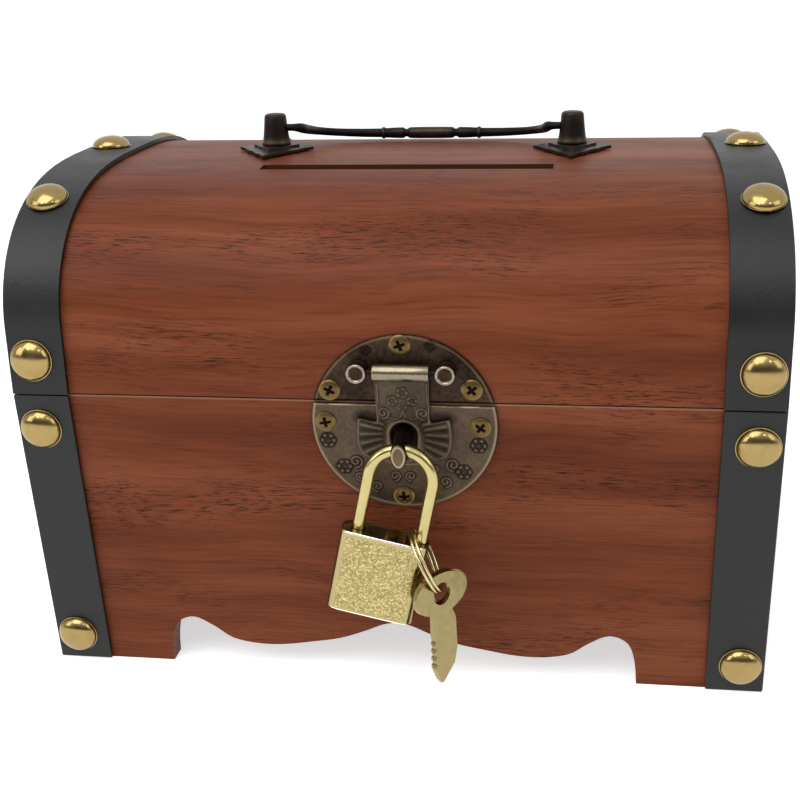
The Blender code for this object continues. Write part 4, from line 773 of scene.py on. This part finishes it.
# Rolled and worn bronze: the knuckle shines along its top with a pale, nearly white line.
KNUCKLE_BRONZE = aged("rolled_knuckle_bronze", "#2c241b", "#6f6353", "#a2977f", 0.24, 0.95)
half_loop = [(KNUCKLE_BORE, KNUCKLE_HALF), (KNUCKLE_RADIUS - 0.3, KNUCKLE_HALF),
             (KNUCKLE_RADIUS - 0.08, KNUCKLE_HALF - 0.1), (KNUCKLE_RADIUS, KNUCKLE_HALF - 0.3)]
loop = [(r, -along) for r, along in half_loop] + [(KNUCKLE_RADIUS, 0.0)] + half_loop[::-1]
knuckle = turned("hasp_knuckle", np.array(loop) * MM, HASP_AXIS, ACROSS, 64, ring=True)
finished(knuckle, KNUCKLE_BRONZE, "hasp", "antique_bronze",
         wear_and_shade=np.full(len(knuckle.data.vertices), 0.62))

# The two posts that carry the hasp's pin: turned steel pressed through the upper plate, with a
# bright ring round a dished end. The profile gives radius, height and rubbing, in millimetres.
POST_X = 11.25
POST_SIDES = 64
PIN_POST = np.array([
    (0.0, 5.05, 0.1), (1.30, 5.05, 0.1), (1.62, 5.10, 0.15), (1.85, 5.38, 0.8), (1.98, 5.54, 1.1),
    (2.16, 5.60, 1.2), (2.34, 5.56, 1.2), (2.50, 5.40, 1.0), (2.56, 5.15, 0.5), (2.56, 4.7, 0.42),
    (2.42, 4.5, 0.2), (2.42, 2.6, 0.25), (2.6, 2.3, 0.5), (2.6, 1.4, 0.4), (0.0, 1.4, 0.4)])
# Plated steel, turned: silver on the ring where the plating shines, brown in the dish.
POST_STEEL = aged("plated_turned_steel", "#2b1e14", "#574736", "#93877a", 0.28, 0.95)
# Steel darkened with age: nearly black, with a dull shine in spots. So are the pin and the staple,
# whose near black is also painted shade where it shows in the flap's hole.
DARK_STEEL_AND_SHADE = handled("darkened_steel_and_painted_shade", "#2a2019", 0.42, 0.5)
dress(DARK_STEEL_AND_SHADE, "hasp_pin")
for side, label in ((-1, "left"), (1, "right")):
    foot = (SEAM_FOOT[0] + side * POST_X * MM, SEAM_FOOT[1], HASP_AXIS[2])
    post = turned(f"pin_post_{label}", PIN_POST[:, :2] * MM, foot, (0.0, -1.0, 0.0), POST_SIDES)
    finished(post, POST_STEEL, "lid", "plated_steel", f"hasp_rivet_{label}",
             wear_and_shade=np.repeat(PIN_POST[:, 2], POST_SIDES), sharp=55.0)

# The staple: a steel post driven through the base's plate into the front board, near black from age
# and painted shade, whose pointed end is filed flat and rubbed bright round a brown middle.
STAPLE_FOOT = -9.135
STAPLE_TIP = 12.95
STAPLE_HALF = (1.88, 3.28)
CAP_RISE = 0.05
CAP_RIM_RISE = 0.22
CAP_DEPTH = 0.3
CAP_POWER = 1.9
# Painted shade: the staple's near-black steel also stands for the shade inside the flap's hole.
dress(DARK_STEEL_AND_SHADE, "staple")


def staple_cap():
    """The filed end, and how much it is rubbed: an oval grid out to |x / a|^p + |y / b|^p = 1 with
    p = 1.9, raised near its rim."""
    share, turn = round_grid(20, 72)
    across, up = np.cos(turn), np.sin(turn)
    reach = share * (np.abs(across) ** CAP_POWER + np.abs(up) ** CAP_POWER) ** (-1 / CAP_POWER)
    px, py = reach * across * STAPLE_HALF[0], reach * up * STAPLE_HALF[1] + STAPLE_FOOT
    rim = np.exp(-((share - 0.84) / 0.12) ** 2)
    height = STAPLE_TIP + CAP_RISE + CAP_RIM_RISE * rim * step_up(1 - share, 0.0, 0.06)
    cap = slab("staple_end", SEAM_FOOT, LEAN, px, py, height, STAPLE_TIP - CAP_DEPTH, True)
    wear_and_shade = 0.34 + 0.6 * rim
    return cap, np.stack([wear_and_shade, wear_and_shade])


# Steel filed flat and worn by the shackle: pale at the rim and brown in the middle.
FILED_STEEL = aged("filed_steel", "#3a2a1c", "#675440", "#a39679", 0.32, 0.9)
cap, wear_and_shade = staple_cap()
finished(cap, FILED_STEEL, "base", "plated_steel", wear_and_shade=wear_and_shade, sharp=50.0)

# The padlock's body: a block of pale brass, milled and polished, whose front is hammered inside
# plain bands. Unlocked, it slides down the shackle's long leg. Its places are measured from the top
# of the shackle's bow, across it and up along its legs, and the bands left, right, bottom and top.
SHACKLE_HALF = 0.00825
BODY_Z = -np.array(JOINTS["padlock_slide"]["axis"])
BODY_X = np.cross((0.0, 1.0, 0.0), BODY_Z)
BODY_ORIGIN = np.array(JOINTS["shackle_swing"]["pos_m"]) + SHACKLE_HALF * (BODY_Z - UPRIGHT)
BODY_WIDE = (-0.01255, 0.01055)
BODY_TALL = (-0.0466, -0.0238)
BODY_DEEP_HALF = 0.0040
BODY_CORNER = 0.0030
BODY_ROUNDING = 0.00048
PANEL_BANDS = (0.0012, 0.0018, 0.0010, 0.0013)
PANEL_BLUR = 0.00012
PANEL_FRONT = (-0.0037, -0.0039)
EDGE_HIGHLIGHT_BAND = (0.00052, 0.00042)
EDGE_HIGHLIGHT_FRONT = (-0.0033, -0.0036)
DENT_SIZE = 0.00034
DENT_CLOUD = 0.000625
DENT_DEPTH = 0.00006
RIM_WITHIN = (0.00006, 0.00003)


def padlock_brass():
    """Pale polished brass: the front panel is hammered, and its facets are painted from soft olive
    to pale as a painted glitter; the bands round it and the other sides are smooth and mirror the
    lamps, and the front edges of the top and bottom carry a painted highlight in near white."""
    made, tree, shader = coated("hammered_and_polished_brass", "#a89a68", 0.20, 1.0)
    place = add(tree, "ShaderNodeTexCoord").outputs["Object"]
    away = add(tree, "ShaderNodeVectorMath", {0: place, 1: tuple(BODY_ORIGIN)},
               operation="SUBTRACT").outputs[0]
    wide, tall, deep = [add(tree, "ShaderNodeVectorMath", {0: away, 1: tuple(axis)},
                            operation="DOT_PRODUCT").outputs["Value"]
                        for axis in (BODY_X, BODY_Z, np.array([0.0, 1.0, 0.0]))]
    panel = mapped(tree, deep, *PANEL_FRONT)
    for value, level, inward in ((wide, BODY_WIDE[0] + PANEL_BANDS[0], 1),
                                 (wide, BODY_WIDE[1] - PANEL_BANDS[1], -1),
                                 (tall, BODY_TALL[0] + PANEL_BANDS[2], 1),
                                 (tall, BODY_TALL[1] - PANEL_BANDS[3], -1)):
        blur = inward * PANEL_BLUR
        panel = maths(tree, "MULTIPLY", panel, mapped(tree, value, level - blur, level + blur))
    # Painted glitter: each hammered facet gets its own tone, from olive to pale.
    dents = add(tree, "ShaderNodeTexVoronoi", {"Vector": place, "Scale": 1 / DENT_SIZE})
    glitter = add(tree, "ShaderNodeSeparateColor", {0: dents.outputs["Color"]}).outputs[0]
    glitter = maths(tree, "MULTIPLY", glitter, noise(tree, place, DENT_CLOUD, 3.0))
    spark = ramp(tree, glitter, (0.05, "#8f8153"), (0.28, "#aa9a66"), (0.52, "#d6c894"))
    tint = blend(tree, panel, linear("#a5976a"), spark)
    # Painted highlight: a near-white line along the front edges of the top and bottom.
    from_rims = [maths(tree, "ABSOLUTE", maths(tree, "SUBTRACT", tall, level)) for level in BODY_TALL]
    edge_highlight = mapped(tree, maths(tree, "MINIMUM", *from_rims), *EDGE_HIGHLIGHT_BAND)
    edge_highlight = maths(tree, "MULTIPLY", edge_highlight, mapped(tree, deep, *EDGE_HIGHLIGHT_FRONT))
    tint = blend(tree, edge_highlight, tint, linear("#f1ecdd"))
    rough = mapped(tree, panel, 0.0, 1.0, 0.13, 0.42)
    drive(tree, shader, tint, rough, glitter, maths(tree, "MULTIPLY", panel, 0.55), DENT_DEPTH)
    return made


def block_rim(ends):
    """Picks the edges that run round the block's top and bottom: both ends lie at one height and
    on the rounded rectangle, where |max(q, 0)| + min(max(q), 0) is its corner radius."""
    away = ends - BODY_ORIGIN
    wide, tall = away @ BODY_X, away @ BODY_Z
    middle = (BODY_WIDE[0] + BODY_WIDE[1]) / 2
    half = np.array([(BODY_WIDE[1] - BODY_WIDE[0]) / 2, BODY_DEEP_HALF])
    q = np.abs(np.stack([wide - middle, away[..., 1]], axis=-1)) - half + BODY_CORNER
    from_wall = np.linalg.norm(np.maximum(q, 0.0), axis=-1) + np.minimum(q.max(axis=-1), 0.0)
    from_wall -= BODY_CORNER
    from_level = np.minimum(np.abs(tall - BODY_TALL[0]), np.abs(tall - BODY_TALL[1]))
    on_rim = (np.abs(from_wall) < RIM_WITHIN[0]) & (from_level < RIM_WITHIN[1])
    return on_rim.all(axis=1)


softened("padlock_block", "padlock_body", padlock_brass(), "padlock_body",
         BODY_ROUNDING, 4, outer=block_rim)

# The shackle: a steel rod bent round and plated pale gold, which hangs in the staple. Its long leg
# runs deep into the padlock's body, and its short leg is what the lock lets go.
SHACKLE_WIRE = 0.00162
SHACKLE_DROP = 0.0238
LEG_DEPTHS = (0.0115, 0.0045)
LEG_STEPS = 24
BEND_STEPS = 73
END_BULGE = 0.4


def tube(name, path, radius, side_hint, sides=24, close=1.0):
    """A round bar along a path, with a radius at each point: rings across the path's tangent, and
    at each end a cap that closes as a quarter turn, flat where close is 0."""
    path = np.asarray(path, float)
    radius = np.broadcast_to(radius, len(path)).astype(float)
    run = unit(np.gradient(path, axis=0))
    side = unit(np.cross(run, side_hint))
    over = np.cross(side, run)
    turn = np.linspace(0, 2 * np.pi, sides, endpoint=False)
    circle = np.cos(turn)[:, None, None] * side + np.sin(turn)[:, None, None] * over
    rings = path[:, None] + radius[:, None, None] * np.moveaxis(circle, 0, 1)
    for end, inward in ((0, 1), (-1, -1)):
        steps = []
        for a in np.linspace(0.0, np.pi / 2, 5)[1:]:
            back = path[end] - inward * run[end] * radius[end] * END_BULGE * close * np.sin(a)
            steps.append(back + (rings[end] - path[end]) * np.cos(a))
        rings = np.concatenate([steps[::-1], rings] if end == 0 else [rings, steps])
    return piece(name, rings, grid_faces(len(rings), sides, True))


# Gold plating on smooth steel: a pale yellow mirror, hardly mottled.
GOLD_PLATING = handled("gold_plated_steel_rod", "#b7a974", 0.13, 0.10)
bend = np.linspace(np.pi, 0.0, BEND_STEPS)
long_leg = np.linspace(-SHACKLE_DROP - LEG_DEPTHS[0], -SHACKLE_HALF, LEG_STEPS)[:-1]
short_leg = np.linspace(-SHACKLE_HALF, -SHACKLE_DROP - LEG_DEPTHS[1], LEG_STEPS)[1:]
across = np.concatenate([np.full_like(long_leg, -SHACKLE_HALF), SHACKLE_HALF * np.cos(bend),
                         np.full_like(short_leg, SHACKLE_HALF)])
down = np.concatenate([long_leg, SHACKLE_HALF * (np.sin(bend) - 1), short_leg])
route = BODY_ORIGIN + across[:, None] * BODY_X + down[:, None] * BODY_Z
bow = tube("shackle_bow", route, SHACKLE_WIRE, (0.0, 1.0, 0.0), 40, close=0.0)
finished(bow, GOLD_PLATING, "shackle", "pale_brass", "shackle", sharp=60.0)

# The split ring: brassed spring wire wound twice round, its two turns lying side by side. It hangs
# from the shackle's short leg, and its axes are across its turns, and over and up in their plane.
RING_ORIGIN = np.array(JOINTS["ring_swing"]["pos_m"])
RING_OVER = -np.array(JOINTS["ring_swing"]["axis"])
RING_UP = unit((RING_OVER[2], 0.0, -RING_OVER[0]))
RING_ACROSS = np.cross(RING_OVER, RING_UP)
RING_RADIUS = 0.0088
RING_PITCH = 0.00105
RING_WIRE = 0.00042
RING_TURNS = 2
RING_STEPS = 241
# Bright spring wire: thin pale lines that catch the lamps.
RING_BRASS = handled("brassed_spring_wire", "#c4b78c", 0.13, 0.15)
wound = np.linspace(0.0, 1.0, RING_STEPS)[:, None]
turn = 2 * np.pi * RING_TURNS * wound + np.pi / 2
route = (RING_ORIGIN + RING_PITCH * RING_TURNS * (wound - 0.5) * RING_ACROSS
         + RING_RADIUS * np.sin(turn) * RING_OVER - RING_RADIUS * (1 + np.cos(turn)) * RING_UP)
wire = tube("split_ring_wire", route, RING_WIRE, RING_ACROSS, 14)
finished(wire, RING_BRASS, "key_ring", "pale_brass", "key_ring", sharp=60.0)

# The two keys: stamped from flat plated brass sheet, with an oval bow and a toothed blade, their
# edges rolled over by tumbling. They hang side by side on the split ring.
KEY_ROUNDING = 0.00016
# Brass plated an olive gold: satin, and a little darker where fingers hold it.
KEY_BRASS = handled("olive_plated_brass", "#94875c", 0.20, 0.15)
for name in ("key_front", "key_back"):
    softened(f"stamped_{name}", name, KEY_BRASS, name, KEY_ROUNDING)

# The carrying handle: a cast bail with beads, hung in two turned posts on stepped lozenge plates,
# which are held by nuts inside the lid. All but the nuts are browned nearly black, and rubbed to
# bronze on the beads and edges. The profile gives radius in millimetres, height and rubbing.
HANDLE_X = (-0.0421, 0.0449)
CROWN_Z = 0.1375
POST_TOP = 0.1484
POST_PROFILE = ((0.0, POST_TOP, 0.3), (1.9, POST_TOP, 0.4), (2.55, POST_TOP - 0.0001, 0.5),
                (3.0, POST_TOP - 0.0004, 0.5), (3.22, POST_TOP - 0.0009, 0.4), (3.42, 0.1450, 0.3),
                (3.62, 0.1432, 0.3), (3.76, 0.1420, 0.35), (3.95, 0.1409, 0.5), (4.22, 0.1403, 0.7),
                (4.28, 0.1400, 0.6), (4.28, 0.1396, 0.3), (1.5, 0.1396, 0.2), (1.5, 0.1300, 0.2),
                (0.0, 0.1300, 0.2))
LOZENGE_ROUNDING = 0.00012
LOZENGE_FACE_TURN = 0.3
BAIL_TILT = np.radians(12.3)
BAIL_ORIGIN = np.array(JOINTS["bail_hinge"]["pos_m"])
BAIL_ALONG = np.array([0.0, np.cos(BAIL_TILT), -np.sin(BAIL_TILT)])
BAIL_UP = np.array([0.0, np.sin(BAIL_TILT), np.cos(BAIL_TILT)])
SHOULDER = 0.0381
BAIL_REACH = 0.0225
BAIL_GRIP = 0.00163
BAIL_END = 0.0414
BAIL_SIDES = 28
# Half of the bail from its end: shares of the shoulder across, of the reach along and of the grip's
# radius. Then half of the grip and its beads: shares of the shoulder and of the grip's radius.
ARM = ((BAIL_END / SHOULDER, 0.0, 0.629), (1.0, 0.0, 0.66), (0.955, 0.10, 0.86), (0.93, 0.34, 0.84),
       (0.87, 0.60, 0.74), (0.74, 0.84, 0.72), (0.58, 0.965, 0.78), (0.46, 1.0, 0.82))
GRIP = ((0.405, 0.84), (0.398, 1.04), (0.390, 1.10), (0.378, 1.06), (0.368, 0.88), (0.352, 0.92),
        (0.300, 0.99), (0.232, 1.02), (0.222, 0.98), (0.214, 0.78), (0.200, 0.72), (0.188, 0.78),
        (0.180, 0.98), (0.160, 1.04), (0.080, 1.07))


def bail_line():
    """Shares across, along and thick over the whole bail: a Catmull-Rom curve through the arm's
    points, whose tangent at each runs from the one before to the one after, then the grip's beads
    in straight steps, and both again mirrored."""
    arm = np.array(ARM)
    near = np.concatenate([[arm[0]], arm, [2 * arm[-1] - arm[-2]]])
    t = np.linspace(0.0, 1.0, 10, endpoint=False)[:, None]
    curve = [0.5 * (2 * b + (c - a) * t + (2 * a - 5 * b + 4 * c - d) * t ** 2
                    + (3 * b - a - 3 * c + d) * t ** 3)
             for a, b, c, d in zip(near, near[1:], near[2:], near[3:])]
    curve = np.concatenate(curve + [arm[-1:]])
    grip = np.array([(x, 1.0, wide) for x, wide in GRIP])
    fine = np.linspace(0.0, len(grip) - 1.0, 4 * len(grip))
    grip = np.stack([np.interp(fine, np.arange(len(grip)), grip[:, k]) for k in range(3)], axis=-1)
    half = np.concatenate([curve, grip])
    return np.concatenate([half * (-1, 1, 1), half[::-1]])


# Bronze browned in a bath: nearly black, with warm bronze on the beads and rims.
BROWNED_BRONZE = aged("browned_cast_bronze", "#0d0a08", "#251e19", "#5a4b3b", 0.38, 0.85)
BROWNED_SHEET = handled("browned_stamped_bronze", "#3a2e25", 0.36, 0.6)
# Plain turned steel: grey and bright, with a few dull spots.
PLAIN_STEEL = handled("plain_turned_steel", "#8d8a84", 0.28, 0.4)
profile = np.array(POST_PROFILE)
heights = np.stack([profile[:, 0] * MM, profile[:, 1] - CROWN_Z], axis=-1)
for side, x in zip(("left", "right"), HANDLE_X):
    post = turned(f"turned_post_{side}", heights, (x, MIDDLE_Y, CROWN_Z), UPRIGHT, POST_SIDES)
    finished(post, BROWNED_BRONZE, "lid", "dark_bronze", f"handle_post_{side}",
             wear_and_shade=np.repeat(profile[:, 2], POST_SIDES), sharp=50.0)
    softened(f"stepped_lozenge_{side}", f"handle_plate_{side}", BROWNED_SHEET, "lid",
             LOZENGE_ROUNDING, 2, LOZENGE_FACE_TURN)
dress(PLAIN_STEEL, "handle_nut_left", "handle_nut_right")
line = bail_line()
route = BAIL_ORIGIN + line[:, :1] * SHOULDER * ACROSS + line[:, 1:2] * BAIL_REACH * BAIL_ALONG
bail = tube("beaded_bail", route, line[:, 2] * BAIL_GRIP, BAIL_UP, BAIL_SIDES)
cap = np.full(4, 0.3)
wear_and_shade = np.concatenate([cap, 0.22 + 0.35 * step_up(line[:, 2], 0.93, 1.10), cap])
finished(bail, BROWNED_BRONZE, "bail", "dark_bronze", "bail", wear_and_shade=np.repeat(wear_and_shade, BAIL_SIDES),
         sharp=50.0)

# The hinges on the back: two butt hinges of stamped leaves rolled round a steel pin, each leaf held
# to its board by two small brass screws. Places on a leaf are in millimetres from the barrel.
HINGE_X = 0.052
LEAF_FACE = -1.0
LEAF_ROUNDING = 0.00012
LEAF_SCREW_ACROSS = 7.6
LEAF_SCREW_UP = 6.4
LEAF_SCREW_RADIUS = 1.7
LEAF_SCREW_RISE = 0.55
LEAF_SCREW_TWISTS = (23, 63)
# Steel sheet washed with brass: a dull yellow, spotted.
BRASSED_STEEL = handled("brassed_sheet_steel", "#9a8352", 0.34, 0.5)
dress(PLAIN_STEEL, "hinge_pin_left", "hinge_pin_right")
for side in ("left", "right"):
    for level, body in (("upper", "lid"), ("lower", "base")):
        softened(f"stamped_leaf_{level}_{side}", f"hinge_leaf_{level}_{side}", BRASSED_STEEL, body,
                 LEAF_ROUNDING, 2)
for side, x in (("left", -HINGE_X), ("right", HINGE_X)):
    barrel = np.array([x, JOINTS["lid_hinge"]["pos_m"][1], SEAM_Z])
    for level, body, up, y in (("upper", "lid", UPRIGHT, LEAF_SCREW_UP),
                               ("lower", "base", LEAN * (1, -1, 1), -LEAF_SCREW_UP)):
        for k, (hand, twist) in enumerate(zip((-1, 1), LEAF_SCREW_TWISTS)):
            screw(f"leaf_screw_{level}_{side}_{k}", body, barrel, up, hand * LEAF_SCREW_ACROSS, y,
                  LEAF_FACE, twist, LEAF_SCREW_RADIUS, LEAF_SCREW_RISE, -ACROSS)
